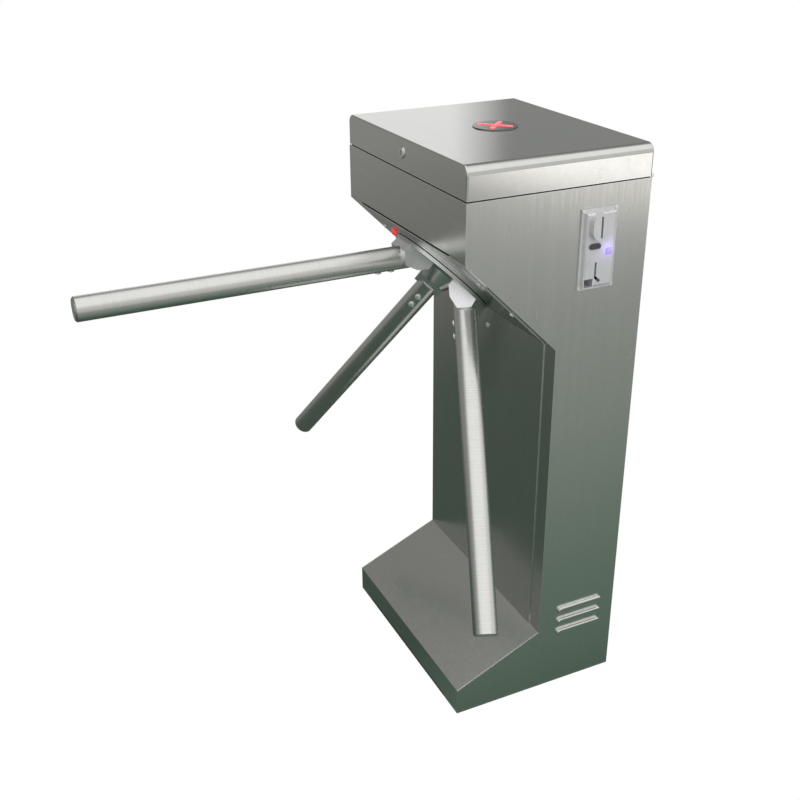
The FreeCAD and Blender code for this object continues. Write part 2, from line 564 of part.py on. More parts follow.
def build_rotor():
    keep(turned(HUB, [
        ("shaft_radius", DISC_LOW), ("disc_radius", DISC_LOW), ("disc_radius", DISC_TOP),
        ("shaft_radius", DISC_TOP),
    ]), "rotor_disc")
    nose = f"({DISC_LOW} + shaft_nose)"
    keep(turned(HUB, [
        ("0", f"{NUT_TOP} - nut_tall - shaft_tail"),
        ("shaft_radius", f"{NUT_TOP} - nut_tall - shaft_tail"),
        ("shaft_radius", BEARING_TOP), ("shaft_collar", BEARING_TOP),
        ("shaft_collar", f"{DISC_LOW} - shaft_flange_tall"),
        ("shaft_flange", f"{DISC_LOW} - shaft_flange_tall"), ("shaft_flange", DISC_LOW),
        ("shaft_radius", DISC_LOW), ("shaft_radius", nose), ("bolt_radius", nose),
        ("bolt_radius", f"{DISC_TOP} + dome_tall - bolt_sunk - bolt_long"),
        ("0", f"{DISC_TOP} + dome_tall - bolt_sunk - bolt_long"),
    ]), "main_shaft")
    seat = f"({DISC_TOP} + dome_tall - bolt_sunk)"
    keep(turned(HUB, [
        ("shaft_radius", DISC_TOP), ("dome_radius", DISC_TOP), ("dome_top", f"{DISC_TOP} + dome_tall"),
        ("bolt_head", f"{DISC_TOP} + dome_tall"), ("bolt_head", seat), ("bolt_radius", seat),
        ("bolt_radius", nose), ("shaft_radius", nose),
    ]), "hub_dome")
    bolt = turned(HUB, [
        ("0", f"{seat} - bolt_long"), ("bolt_radius", f"{seat} - bolt_long"), ("bolt_radius", seat),
        ("bolt_head", seat), ("bolt_head", f"{seat} + bolt_head_tall"),
        ("0", f"{seat} + bolt_head_tall"),
    ])
    nut = turned(HUB, tube_profile("shaft_radius", "nut_radius", f"{NUT_TOP} - nut_tall", NUT_TOP))
    keep(group(bolt, nut), "shaft_fasteners")
    build_arms()
    cam = turned(HUB, [
        ("shaft_radius", LOCK_TOP), ("boss_radius", LOCK_TOP), ("boss_radius", f"{CAM_TOP} - cam_thick"),
        ("cam_radius", f"{CAM_TOP} - cam_thick"), ("cam_radius", CAM_TOP), ("boss_radius", CAM_TOP),
        ("boss_radius", BEARING_LOW), ("shaft_radius", BEARING_LOW),
    ])
    doc.recompute()
    valley = new_sketch(cam, "XY_Plane", CAM_TOP)
    circle(valley, "roller_radius + roller_gap", "cam_valley + roller_radius + roller_gap", "0")
    repeat_around(cam, pocket(cam, valley, "cam_thick"), 3)
    keep(cam, "index_cam")
    disc = turned(HUB, [
        ("shaft_radius", NUT_TOP), ("boss_radius", NUT_TOP), ("boss_radius", LOCK_LOW),
        ("lock_radius", LOCK_LOW), ("lock_radius", LOCK_TOP), ("shaft_radius", LOCK_TOP),
    ])
    doc.recompute()
    notch = new_sketch(disc, "XY_Plane", LOCK_TOP)
    outline(notch, rectangle("lock_radius - notch_deep", "-notch_wide/2", "lock_radius + notch_deep",
                             "notch_wide/2"))
    repeat_around(disc, pocket(disc, notch, "lock_thick"), 6)
    keep(disc, "lock_disc")


def build_arms():
    """Three sockets on the rotor disc, each with a stub that its arm's tube slides over."""
    sockets = []
    caps = []
    screws = []
    for number in range(3):
        arm = arm_frame(number)
        block = new_body(turn_about_hub(120 * number))
        side = new_sketch(block, "YZ_Plane")
        outline(side, [
            ("socket_in", DISC_TOP), ("socket_in", "socket_step"), ("socket_waist", "socket_waist_top"),
            ("socket_peak", "socket_peak_top"), ("socket_lip", "socket_lip_top"),
            ("socket_out", DISC_TOP),
        ])
        length = pad(block, side, "2*socket_half")
        length.Midplane = True
        seat = cylinder(arm, "tube_radius", TUBE_START, "tube_radius*2")
        stub = turned(arm, [
            ("0", f"{TUBE_START} - socket_seat"), ("stub_root", f"{TUBE_START} - socket_seat"),
            ("stub_root", TUBE_START), ("tube_radius - tube_wall - stub_gap", TUBE_START),
            ("tube_radius - tube_wall - stub_gap", f"{TUBE_START} + stub_long"),
            ("0", f"{TUBE_START} + stub_long"),
        ])
        places = ["arm_screw_near", "(arm_screw_near + arm_screw_pitch)"]
        frames = [
            f"{arm} * placement(vector(0; -tube_radius; {along}); rotation(vector(1; 0; 0); 90))"
            for along in places
        ]
        bores = [cylinder(frame, "arm_screw", "-arm_screw_deep", "2*arm_screw_deep") for frame in frames]
        socket = fuse(cut(block, seat), stub)
        sockets.append(cut(socket, *bores))
        tube = turned(arm, tube_profile("tube_radius - tube_wall", "tube_radius", TUBE_START,
                                        "arm_length - cap_tall"))
        keep(cut(tube, *bores), f"arm_tube_{number + 1}")
        caps.append(turned(arm, [
            ("0", "arm_length - cap_tall - cap_plug"),
            ("tube_radius - tube_wall", "arm_length - cap_tall - cap_plug"),
            ("tube_radius - tube_wall", "arm_length - cap_tall"),
            ("tube_radius", "arm_length - cap_tall"),
            ("tube_radius", "arm_length - cap_tall + cap_tall/4"),
            ("tube_radius - cap_chamfer", "arm_length - cap_tall/8"), ("0", "arm_length"),
        ]))
        screws += [turned(frame, [
            ("0", "-arm_screw_deep"), ("arm_screw", "-arm_screw_deep"), ("arm_screw", "0"),
            ("arm_screw_head", "0"), ("arm_screw_head", "arm_screw_tall*0.6"),
            ("arm_screw_head*0.6", "arm_screw_tall"), ("0", "arm_screw_tall"),
        ]) for frame in frames]
    keep(group(*sockets), "arm_sockets")
    keep(group(*caps), "arm_end_caps")
    keep(group(*screws), "arm_screws")


# ---------------------------------------------------------------- indexing and locking

def build_detent():
    """A sprung lever with a roller, which drops into the cam's three valleys."""
    pivot_x = f"({ROLLER_X} + lever_offset)"
    low = f"({LEVER_TOP} - lever_thick)"
    arm = plate(HUB, [
        (f"{pivot_x} - lever_half", "-lever_long"), (f"{pivot_x} + lever_half", "-lever_long"),
        (f"{ROLLER_X} + lever_half", "0"), (f"{ROLLER_X} - lever_half", "0"),
    ], low, "lever_thick")
    ends = [
        cylinder(HUB, "lever_half", low, "lever_thick", pivot_x, "-lever_long"),
        cylinder(HUB, "lever_half", low, "lever_thick", ROLLER_X, "0"),
        cylinder(HUB, "axle_radius", LEVER_TOP, "roller_tall + 1", ROLLER_X, "0"),
    ]
    hole = cylinder(HUB, "pivot_radius + running_gap", f"{low} - 1", "lever_thick + 2", pivot_x,
                    "-lever_long")
    keep(cut(fuse(arm, *ends), hole), "detent_lever")
    spot = HUB + f" * placement(vector({ROLLER_X}; 0; 0); rotation(vector(0; 0; 1); 0))"
    keep(turned(spot, tube_profile("axle_radius + running_gap", "roller_radius",
                                   f"{LEVER_TOP} + 0.5", f"{LEVER_TOP} + 0.5 + roller_tall")),
         "detent_roller")
    coil = new_body(HUB + f" * placement(vector({pivot_x}; -lever_long; 0); "
                          "rotation(vector(0; 0; 1); 0))")
    wire = new_sketch(coil, "XZ_Plane")
    circle(wire, "spring_wire", "spring_radius", f"{LEVER_TOP} + spring_wire + 0.5")
    wind = coil.newObject("PartDesign::AdditiveHelix", "Winding")
    wind.Profile = wire
    wind.ReferenceAxis = (wire, ["V_Axis"])
    wind.Mode = 1
    bind(wind, Pitch="spring_pitch", Turns="spring_turns")
    keep(coil, "detent_spring")
    return pivot_x, low


def lock_frame(side):
    """X points from the hub's axis to the notch that this pawl drops into."""
    return turn_about_hub(180 - side * 60)


def build_locks():
    """Two pawls, each pushed into a notch of the lock disc by a solenoid, and their pivots."""
    detent_x, detent_low = build_detent()
    pivots = [cylinder(HUB, "pivot_radius", f"{detent_low} - pivot_tail",
                       f"{CARRIER_LOW} - {detent_low} + pivot_tail", detent_x, "-lever_long")]
    coils = []
    low = f"({LOCK_LOW} + (lock_thick - lever_thick)/2)"
    for number, side in enumerate((1, -1), start=1):
        frame = lock_frame(side)
        far = f"{side}*pawl_long"
        bar_low, bar_high = ("0", far) if side > 0 else (far, "0")
        tooth = f"-{side}*tooth_shift"
        solid = fuse(
            box(frame, ("pawl_reach - pawl_half", bar_low, low),
                ("pawl_reach + pawl_half", bar_high, f"{low} + lever_thick")),
            cylinder(frame, "pawl_half", low, "lever_thick", "pawl_reach", "0"),
            cylinder(frame, "lever_half", low, "lever_thick", "pawl_reach", far),
            box(frame, ("lock_radius + tooth_gap", f"{tooth} - tooth_half", low),
                ("pawl_reach", f"{tooth} + tooth_half", f"{low} + lever_thick")),
        )
        hole = cylinder(frame, "pivot_radius + running_gap", f"{low} - 1", "lever_thick + 2",
                        "pawl_reach", far)
        keep(cut(solid, hole), f"lock_pawl_{number}")
        pivots.append(cylinder(frame, "pivot_radius", f"{low} - pivot_tail",
                               f"{CARRIER_LOW} - {low} + pivot_tail", "pawl_reach", far))
        rod = f"{frame} * placement(vector(0; 0; {low} + lever_thick/2); rotation(vector(0; 1; 0); 90))"
        start = "(pawl_reach + pawl_half + plunger_gap)"
        keep(cylinder(rod, "plunger_radius", start, "plunger_long"), f"solenoid_plunger_{number}")
        case = box(frame, ("solenoid_start", "-solenoid_half", f"{CARRIER_LOW} - solenoid_tall"),
                   ("solenoid_start + solenoid_long", "solenoid_half", CARRIER_LOW))
        bore = cylinder(rod, "plunger_radius + running_gap", "solenoid_start - 1",
                        f"{start} + plunger_long - solenoid_start + 2")
        coils.append(cut(case, bore))
    keep(group(*pivots), "lever_pivot_pins")
    keep(group(*coils), "lock_solenoids")


def build_sensor():
    """A forked light sensor that counts the lock disc's notches as they pass."""
    wide = ("-sensor_half", "sensor_half")
    post = box(HUB, (wide[0], "-sensor_post", f"{LOCK_LOW} - sensor_gap - sensor_wall"),
               (wide[1], "sensor_thick - sensor_post", CARRIER_LOW))
    fork = box(HUB, (wide[0], "-sensor_post", f"{LOCK_LOW} - sensor_gap - sensor_wall"),
               (wide[1], "sensor_reach - sensor_post", f"{LOCK_TOP} + sensor_gap + sensor_wall"))
    gap = box(HUB, (f"{wide[0]} - 1", "-lock_radius - 1", f"{LOCK_LOW} - sensor_gap"),
              (f"{wide[1]} + 1", "sensor_reach - sensor_post + 1", f"{LOCK_TOP} + sensor_gap"))
    keep(cut(fuse(post, fork), gap), "position_sensor")


# ---------------------------------------------------------------- lid

def hinge_piece(side, low, high, leaf_low, leaf_high, reliefs):
    """One hinge leaf with its knuckles; reliefs are the stretches left to the other leaf."""
    middle = f"{side}*hinge_x"
    leaf = box(FLOOR, (f"{middle} - hinge_half", REAR, leaf_low),
               (f"{middle} + hinge_half", f"{REAR} + leaf_thick", leaf_high))
    gaps = [
        box(FLOOR, (f"{middle} + {a}", f"{REAR} - 1", low),
            (f"{middle} + {b}", f"{REAR} + leaf_thick + 1", high))
        for a, b in reliefs
    ]
    return cut(leaf, *gaps)


def knuckle(side, start, end, bore):
    """A hollow knuckle on the hinge line between two distances from the hinge's middle."""
    line = (
        f"placement(vector({side}*hinge_x; {HINGE_Y}; {HINGE_Z}); rotation(vector(0; 1; 0); 90))"
    )
    return turned(line, tube_profile(bore, "knuckle_radius", start, end))


def build_hinges():
    """Two butt hinges across the seam at the back: two outer knuckles fixed, the middle one moving."""
    fixed = []
    moving = []
    pins = []
    gap = "(knuckle_half + knuckle_gap)"
    for side in (-1, 1):
        plain = hinge_piece(side, f"{HINGE_Z} - leaf_relief", f"{HINGE_Z} + 1",
                            f"{HINGE_Z} - leaf_tall", HINGE_Z, [(f"(-{gap})", gap)])
        fixed.append(fuse(plain, knuckle(side, "-hinge_half", f"-{gap}", "hinge_pin"),
                          knuckle(side, gap, "hinge_half", "hinge_pin")))
        swung = hinge_piece(side, f"{HINGE_Z} - 1", f"{HINGE_Z} + leaf_relief", HINGE_Z,
                            f"{HINGE_Z} + leaf_tall",
                            [("(-hinge_half - 1)", "(-knuckle_half)"), ("knuckle_half", "(hinge_half + 1)")])
        moving.append(fuse(swung, knuckle(side, "-knuckle_half", "knuckle_half",
                                          "hinge_pin + running_gap")))
        line = (
            f"placement(vector({side}*hinge_x; {HINGE_Y}; {HINGE_Z}); "
            "rotation(vector(0; 1; 0); 90))"
        )
        pins.append(cylinder(line, "hinge_pin", "-hinge_half - hinge_pin_over",
                             "2*(hinge_half + hinge_pin_over)"))
    keep(group(*fixed), "hinge_leaves_fixed")
    keep(group(*moving), "hinge_leaves_lid")
    keep(group(*pins), "hinge_pins")


LOCK = f"placement(vector(0; {FRONT}; lock_height); rotation(vector(1; 0; 0); 90))"
DISPLAY = "placement(vector(display_x; display_y; height); rotation(vector(0; 0; 1); 0))"


def lid_block(inset, low, high, wall):
    """A block whose two long upper edges, front to back, are rounded; wall is what it lies inside."""
    block = box(FLOOR, (f"{inset} - {SIDE_X}", f"{FRONT} + {inset}", low),
                (f"{SIDE_X} - {inset}", f"{REAR} - {inset}", high))
    return round_edges(block, "lid_round", lambda edge, reach:
                       edge.ZMin > reach.ZMax - 0.01 and edge.YLength > edge.XLength, wall)


def build_lid():
    skirt_low = f"({BODY_TOP} + lid_gap)"
    outer = round_edges(
        lid_block("0", skirt_low, "height", 0), "lid_edge_round",
        lambda edge, reach: edge.YLength < 0.01 and edge.ZMax > reach.ZMax - 0.01
        and edge.XLength > edge.ZLength + 0.01)
    inner = lid_block("sheet", f"{skirt_low} - 1", "height - sheet", SIZES["sheet"])
    window = cylinder(DISPLAY, "display_radius - display_lip", "-2*sheet", "3*sheet")
    keyhole = cylinder(LOCK, "lock_body", "-2*sheet", "3*sheet")
    keep(cut(outer, inner, window, keyhole), "lid")
    keep(turned(DISPLAY, [
        ("0", "-sheet"), ("display_radius - display_lip", "-sheet"),
        ("display_radius - display_lip", "0"), ("display_radius", "0"),
        ("display_radius - display_proud", "display_proud"), ("0", "display_proud"),
    ]), "display_window")
    keep(turned(DISPLAY, [
        ("0", "-sheet - display_deep"), ("display_radius", "-sheet - display_deep"),
        ("display_radius", "-sheet"), ("0", "-sheet"),
    ]), "display_module")
    keep(turned(LOCK, [
        ("plug_radius + running_gap", "-lock_deep"), ("lock_body", "-lock_deep"), ("lock_body", "0"),
        ("lock_face", "0"), ("lock_face", "lock_face_tall*0.6"),
        ("lock_face - lock_face_tall*0.4", "lock_face_tall"),
        ("plug_radius + running_gap", "lock_face_tall"),
    ]), "lock_barrel")
    plug = cylinder(LOCK, "plug_radius", "-lock_deep", "lock_deep + lock_face_tall")
    key = box(LOCK, ("-key_wide/2", "-plug_radius*0.7", "lock_face_tall - key_deep"),
              ("key_wide/2", "plug_radius*0.7", "lock_face_tall + 1"))
    keep(cut(plug, key), "lock_plug")
    keep(box(LOCK, ("-cam_half", "-cam_long", "-lock_deep - cam_plate"),
             ("cam_half", "cam_half", "-lock_deep")), "lock_cam")
    front = f"({FRONT} + lock_deep + cam_plate/2)"
    roof = "(lock_height + cam_half + keeper_gap)"
    near = (f"{front} - keeper_half", f"{front} + keeper_half")
    keep(fuse(
        box(FLOOR, ("keeper_start", near[0], roof),
            ("keeper_post + keeper_thick", near[1], f"{roof} + keeper_thick")),
        box(FLOOR, ("keeper_post", near[0], BODY_TOP), ("keeper_post + keeper_thick", near[1], roof)),
        box(FLOOR, ("keeper_post", near[0], BODY_TOP),
            ("keeper_post + keeper_foot", near[1], f"{BODY_TOP} + keeper_thick")),
    ), "lock_keeper")
    build_hinges()


# ---------------------------------------------------------------- coin acceptor

COIN = f"placement(vector({SIDE_X}; coin_y; coin_z); rotation(vector(0; 0; 1); 0))"


def upright(level):
    """The corners of a rectangle centred on (y, z), given as a size about a place."""
    across, up, wide, tall = level
    return rectangle(f"{across} - ({wide})/2", f"{up} - ({tall})/2", f"{across} + ({wide})/2",
                     f"{up} + ({tall})/2")


BOSS_STEP = 15  # degrees between the corners of the boss's round ends


def button_block(start, length, gap):
    """The round-ended block of the reject button, larger by the gap all round."""
    block = new_body(FLOOR)
    face = new_sketch(block, "YZ_Plane", start)
    capsule(face, "button_y", "button_z", f"(button_wide + 2*{gap})", f"(button_tall + 2*{gap})")
    pad(block, face, length)
    return block


def build_coin_unit():
    face = new_body(FLOOR)
    base = new_sketch(face, "YZ_Plane", SIDE_X)
    outline(base, upright(("coin_y", "coin_z", "coin_wide", "coin_tall")))
    pad(face, base, "coin_base")
    plateau = new_sketch(face, "YZ_Plane", f"{SIDE_X} + coin_base")
    outline(plateau, upright(("coin_y", "coin_z", "coin_wide - 2*coin_inset",
                              "coin_tall - 2*coin_inset")))
    pad(face, plateau, "coin_raise")
    body = round_edges(face, "coin_bevel", lambda edge, reach: edge.XMin > reach.XMax - 0.01)
    boss = new_body(FLOOR)
    oval = new_sketch(boss, "YZ_Plane", f"{SIDE_X} + coin_base")
    outline(oval, [
        (f"boss_y + boss_half_y*cos({turn})",
         f"boss_z + {end}*(boss_long/2 - boss_half_y) + boss_half_y*sin({turn})")
        for end, start in ((1, 0), (-1, 180)) for turn in range(start, start + 181, BOSS_STEP)
    ])
    pad(boss, oval, "coin_raise + boss_proud")
    hook = new_body(FLOOR)
    groove = new_sketch(hook, "YZ_Plane", f"{COIN_FACE} - hook_deep")
    half = "slot_wide/2"
    outline(groove, [
        (f"hook_y - {half}", "hook_top"), (f"hook_y - {half}", f"hook_turn - {half}"),
        (f"hook_y + hook_run - {half}", f"hook_turn - hook_run - {half}"),
        (f"hook_y + hook_run + {half}", f"hook_turn - hook_run + {half}"),
        (f"hook_y + {half}", "hook_turn + slot_wide/4"), (f"hook_y + {half}", "hook_top"),
    ])
    pad(hook, groove, "hook_deep + 1")
    through = (f"{SIDE_X} - 1", f"{COIN_FACE} + boss_proud + 1")
    slot = box(FLOOR, (f"{SIDE_X} - slot_deep", "boss_y - slot_wide/2", "boss_z - slot_tall/2"),
               (through[1], "boss_y + slot_wide/2", "boss_z + slot_tall/2"))
    cuts = [slot, hook, button_block(through[0], "coin_base + coin_raise + 2", "button_gap")]
    for name in ("light", "cup"):
        wide, tall = {"light": ("light_side", "light_side"), "cup": ("cup_wide", "cup_tall")}[name]
        low = (through[0], f"{name}_y - ({wide})/2", f"{name}_z - ({tall})/2")
        high = (through[1], f"{name}_y + ({wide})/2", f"{name}_z + ({tall})/2")
        cuts.append(box(FLOOR, low, high))
    screws = []
    for a in (-1, 1):
        for b in (-1, 1):
            spot = (
                f"{COIN} * placement(vector(coin_base; {a}*(coin_wide/2 - coin_screw_inset); "
                f"{b}*(coin_tall/2 - coin_screw_inset)); rotation(vector(0; 1; 0); 90))"
            )
            cuts.append(cylinder(spot, "coin_screw", "-coin_base - 1", "coin_base + 2"))
            screws.append(turned(spot, [
                ("0", "-coin_base"), ("coin_screw", "-coin_base"), ("coin_screw", "0"),
                ("coin_screw_head", "0"), ("coin_screw_head*0.8", "coin_screw_tall"),
                ("0", "coin_screw_tall"),
            ]))
    keep(cut(fuse(body, boss), *cuts), "coin_faceplate")
    keep(button_block(f"{SIDE_X} + button_travel + button_gap",
                      "coin_base + coin_raise + button_proud - button_travel - button_gap", "0"),
         "coin_reject_button")
    keep(box(FLOOR, (SIDE_X, "light_y - light_side/2", "light_z - light_side/2"),
             (f"{COIN_FACE} + 0.5", "light_y + light_side/2", "light_z + light_side/2")),
         "coin_status_light")
    cup_low = ("cup_y - cup_wide/2", "cup_z - cup_tall/2")
    keep(cut(
        box(FLOOR, (f"{COIN_FACE} - cup_deep", *cup_low),
            (COIN_FACE, "cup_y + cup_wide/2", "cup_z + cup_tall/2")),
        box(FLOOR, (f"{COIN_FACE} - cup_deep + cup_wall", f"{cup_low[0]} + cup_wall",
                    f"{cup_low[1]} + cup_wall"),
            (f"{COIN_FACE} + 1", "cup_y + cup_wide/2 - cup_wall", "cup_z + cup_tall/2 - cup_wall")),
    ), "coin_return_cup")
    inset = "(cutout_inset + validator_gap)"
    validator_low = f"({COIN_LOW} + cutout_inset + validator_low)"
    keep(cut(
        box(FLOOR, (f"{SIDE_X} - validator_deep", f"coin_y - coin_wide/2 + {inset}", validator_low),
            (SIDE_X, f"coin_y + coin_wide/2 - {inset}", f"{COIN_LOW} + coin_tall - {inset}")),
        slot), "coin_validator")
    keep(cut(
        box(FLOOR, (CHUTE_X, "chute_y", "chute_low"),
            (f"{CHUTE_X} + chute_wide", "chute_y + chute_wide", validator_low)),
        box(FLOOR, (f"{CHUTE_X} + sheet", "chute_y + sheet", "chute_low - 1"),
            (f"{CHUTE_X} + chute_wide - sheet", "chute_y + chute_wide - sheet", f"{validator_low} + 1")),
    ), "coin_chute")
    near, far = BOX_Y
    end = f"{BOX_X} + box_wide"
    keep(fuse(cut(
        box(FLOOR, (BOX_X, near, "box_low"), (end, far, "box_low + box_tall")),
        box(FLOOR, (f"{BOX_X} + sheet", f"{near} + sheet", "box_low + sheet"),
            (f"{end} - sheet", f"{far} - sheet", "box_low + box_tall + 1")),
    ), box(FLOOR, (end, near, "box_low"), (f"{SIDE_X} - sheet", far, "box_low + sheet"))),
         "coin_box")
    return screws


# ---------------------------------------------------------------- electrical units

def build_electrics():
    wall = f"(sheet - {SIDE_X})"
    back = f"({wall} + board_gap)"
    spots = [
        (f"board_y + {a}", f"board_z + {b}")
        for a in ("standoff_inset", "board_long - standoff_inset")
        for b in ("standoff_inset", "board_tall - standoff_inset")
    ]
    posts = [
        cylinder(f"placement(vector({wall}; {y}; {z}); rotation(vector(0; 1; 0); 90))",
                 "standoff_radius", "0", "board_gap") for y, z in spots
    ]
    board = box(FLOOR, (back, "board_y", "board_z"),
                (f"{back} + board_thick", "board_y + board_long", "board_z + board_tall"))
    relays = [
        box(FLOOR, (f"{back} + board_thick", f"board_y + board_long/2 - relay_side/2",
                    f"board_z + {step}*board_tall/4"),
            (f"{back} + board_thick + relay_high", f"board_y + board_long/2 + relay_side/2",
             f"board_z + {step}*board_tall/4 + relay_side")) for step in range(1, 4)
    ]
    keep(group(fuse(board, *relays), *posts), "control_board")
    keep(box(FLOOR, (wall, SUPPLY_Y[0], "supply_z"),
             (f"{wall} + supply_deep", SUPPLY_Y[1], "supply_z + supply_tall")), "power_supply")
    panel = f"({REAR} - 2*sheet)"
    keep(cut(
        box(FLOOR, ("-counter_half", f"{panel} - counter_deep", COUNTER_Z),
            ("counter_half", panel, f"{COUNTER_Z} + counter_tall")),
        box(FLOOR, ("-counter_half*0.8", f"{panel} - counter_deep - 1",
                    f"{COUNTER_Z} + (counter_tall - counter_window)/2"),
            ("counter_half*0.8", f"{panel} - counter_deep + counter_window_deep",
             f"{COUNTER_Z} + (counter_tall + counter_window)/2")),
    ), "passage_counter")


def build_screws(coin_screws):
    frames = [frame for _, frame in cover_screw_frames()]
    heads = [turned(frame, [
        ("0", "sheet - screw_long"), ("screw", "sheet - screw_long"), ("screw", "sheet"),
        ("screw_head", "sheet"), ("screw_head", "sheet + screw_head_tall*0.5"),
        ("screw_head*0.6", "sheet + screw_head_tall"), ("0", "sheet + screw_head_tall"),
    ]) for frame in frames + [COLUMN_SCREW]]
    keep(group(*heads, *coin_screws), "panel_screws")


# ---------------------------------------------------------------- build, check and write

def check_and_write():
    doc.recompute()
    for item in doc.Objects:
        if "Invalid" in item.State or "Error" in item.State:
            raise RuntimeError(f"{item.Name} ({item.Label}) is {item.State}")
    for node in nodes:
        if node.Shape.isNull() or not node.Shape.isValid():
            raise RuntimeError(f"{node.Label} has no valid shape")
    os.makedirs("parts", exist_ok=True)
    for node in nodes:
        node.Shape.exportStep(f"parts/{node.Label}.step")
    print(f"{len(nodes)} sub-parts written")


build_cabinet()
build_hub_fixed()
build_rotor()
build_locks()
build_sensor()
build_lid()
screws = build_coin_unit()
build_electrics()
build_screws(screws)
check_and_write()
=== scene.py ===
# %% [markdown]
# # Dressing a tripod turnstile in Blender
#
# The turnstile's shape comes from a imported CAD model, which is loaded as a fixed frame, and no CAD node is
# moved or reshaped. This lesson gives it steel, plastic, rubber and light. It stands softened copies in for
# eleven of the nodes, and adds the lit cross of the display, which is too fine for the CAD.

# %% Load the frame
import json
import math

import bpy
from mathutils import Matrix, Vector

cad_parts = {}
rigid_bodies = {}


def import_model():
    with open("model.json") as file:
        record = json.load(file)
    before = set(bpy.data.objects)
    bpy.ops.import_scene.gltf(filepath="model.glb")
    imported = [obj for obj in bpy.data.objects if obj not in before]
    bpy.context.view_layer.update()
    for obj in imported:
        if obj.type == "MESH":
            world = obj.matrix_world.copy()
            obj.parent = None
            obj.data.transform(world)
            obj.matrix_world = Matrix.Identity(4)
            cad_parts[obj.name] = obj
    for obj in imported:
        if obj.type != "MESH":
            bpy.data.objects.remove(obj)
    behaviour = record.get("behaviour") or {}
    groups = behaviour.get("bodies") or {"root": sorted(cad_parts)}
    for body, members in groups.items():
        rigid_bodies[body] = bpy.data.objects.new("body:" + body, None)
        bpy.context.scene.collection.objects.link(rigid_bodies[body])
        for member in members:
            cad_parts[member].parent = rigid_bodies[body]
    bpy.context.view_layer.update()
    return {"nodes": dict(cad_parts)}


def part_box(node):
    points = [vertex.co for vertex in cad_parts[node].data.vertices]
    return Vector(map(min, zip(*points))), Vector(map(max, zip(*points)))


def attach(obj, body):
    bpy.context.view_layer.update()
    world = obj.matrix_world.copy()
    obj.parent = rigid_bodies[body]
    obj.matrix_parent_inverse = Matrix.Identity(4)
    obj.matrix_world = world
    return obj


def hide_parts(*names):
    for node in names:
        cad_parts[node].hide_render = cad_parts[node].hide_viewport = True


for leftover in list(bpy.data.objects):
    bpy.data.objects.remove(leftover)
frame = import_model()
bpy.ops.object.select_all(action="DESELECT")
nodes = frame["nodes"]

# %% [markdown]
# ## Where the camera stands
#
# The viewer looks down on the cabinet's right front corner from a little above its lid, about two metres
# away. A camera can be aimed with a constraint, but here its place and its three angles are simply given,
# because no piece of the scene marks the spot it looks at. Depth of field stays off, so all of the cabinet
# is sharp.
#
# The Standard colour transform shows each tone as it is worked out, so a floor of full white stays white.

# %% Camera
CAMERA_PLACE = (1.50106, -0.87214, 1.34215)
CAMERA_TURN = (1.116087, 0.008837, 1.127553)
CAMERA_LENS = 48.27
CAMERA_SENSOR = 36
FARTHEST_SEEN = 60

bpy.ops.object.camera_add(location=CAMERA_PLACE, rotation=CAMERA_TURN)
camera = bpy.context.object
camera.name = "viewer"
camera.data.lens = CAMERA_LENS
camera.data.sensor_width = CAMERA_SENSOR
camera.data.clip_end = FARTHEST_SEEN
camera.data.dof.use_dof = False
bpy.context.scene.camera = camera
bpy.context.scene.view_settings.view_transform = "Standard"
print("camera at", tuple(camera.location))

# %% [markdown]
# ## A helper for wiring nodes
#
# Every finish below is a small graph of nodes. Writing each link out would hide the idea, so one helper
# adds a node, fills its inputs by name, and links any input that is given another node's output.

# %% Node helpers
def add(tree, kind, settings=None, **inputs):
    """A new node; an underscore in an input's name stands for a space."""
    made = tree.nodes.new(kind)
    for key, value in (settings or {}).items():
        setattr(made, key, value)
    for key, value in inputs.items():
        fill(tree, made.inputs[key.replace("_", " ")], value)
    return made


def fill(tree, socket, value):
    """Links an output to the socket, or sets the socket to a plain value."""
    if isinstance(value, bpy.types.NodeSocket):
        tree.links.new(value, socket)
    else:
        socket.default_value = value


def sums(tree, operation, *values):
    """A Math node's output."""
    made = tree.nodes.new("ShaderNodeMath")
    made.operation = operation
    for socket, value in zip(made.inputs, values):
        fill(tree, socket, value)
    return made.outputs[0]


def vectors(tree, operation, *values):
    """A Vector Math node's output: a number for a product or a length, else a vector."""
    made = tree.nodes.new("ShaderNodeVectorMath")
    made.operation = operation
    for socket, value in zip(made.inputs, values):
        fill(tree, socket, value)
    number = operation in ("DOT_PRODUCT", "LENGTH", "DISTANCE")
    return made.outputs["Value" if number else "Vector"]


def spread(tree, value, low, high, to_low=0.0, to_high=1.0):
    """Maps low..high smoothly to to_low..to_high, and holds it there outside."""
    made = add(tree, "ShaderNodeMapRange", {"interpolation_type": "SMOOTHSTEP"}, Value=value)
    for name, number in (("From Min", low), ("From Max", high), ("To Min", to_low), ("To Max", to_high)):
        fill(tree, made.inputs[name], number)
    return made.outputs["Result"]


def blend_colours(tree, factor, first, second):
    """Mixes two colours by a mask."""
    made = tree.nodes.new("ShaderNodeMix")
    made.data_type = "RGBA"
    for name, value in (("Factor_Float", factor), ("A_Color", first), ("B_Color", second)):
        fill(tree, next(s for s in made.inputs if s.identifier == name), value)
    return next(s for s in made.outputs if s.identifier == "Result_Color")


def colour_ramp(tree, value, stops):
    """A Color Ramp through (position, (r, g, b)) stops."""
    made = add(tree, "ShaderNodeValToRGB", Fac=value)
    band = made.color_ramp.elements
    for position, rgb in stops[1:-1]:
        band.new(position).color = (*rgb, 1)
    band[0].position, band[0].color = stops[0][0], (*stops[0][1], 1)
    band[-1].position, band[-1].color = stops[-1][0], (*stops[-1][1], 1)
    return made.outputs["Color"]


print("node helpers ready")

# %% [markdown]
# ## Shared effects as node groups
#
# Brushed steel is steel that a belt has scratched in one direction. Grain, wear, smudges and dust turn up
# on many finishes, so each is a node group: built once, with named inputs, and placed in each material with
# that material's own numbers. A group hands out only masks and heights that change over the surface.

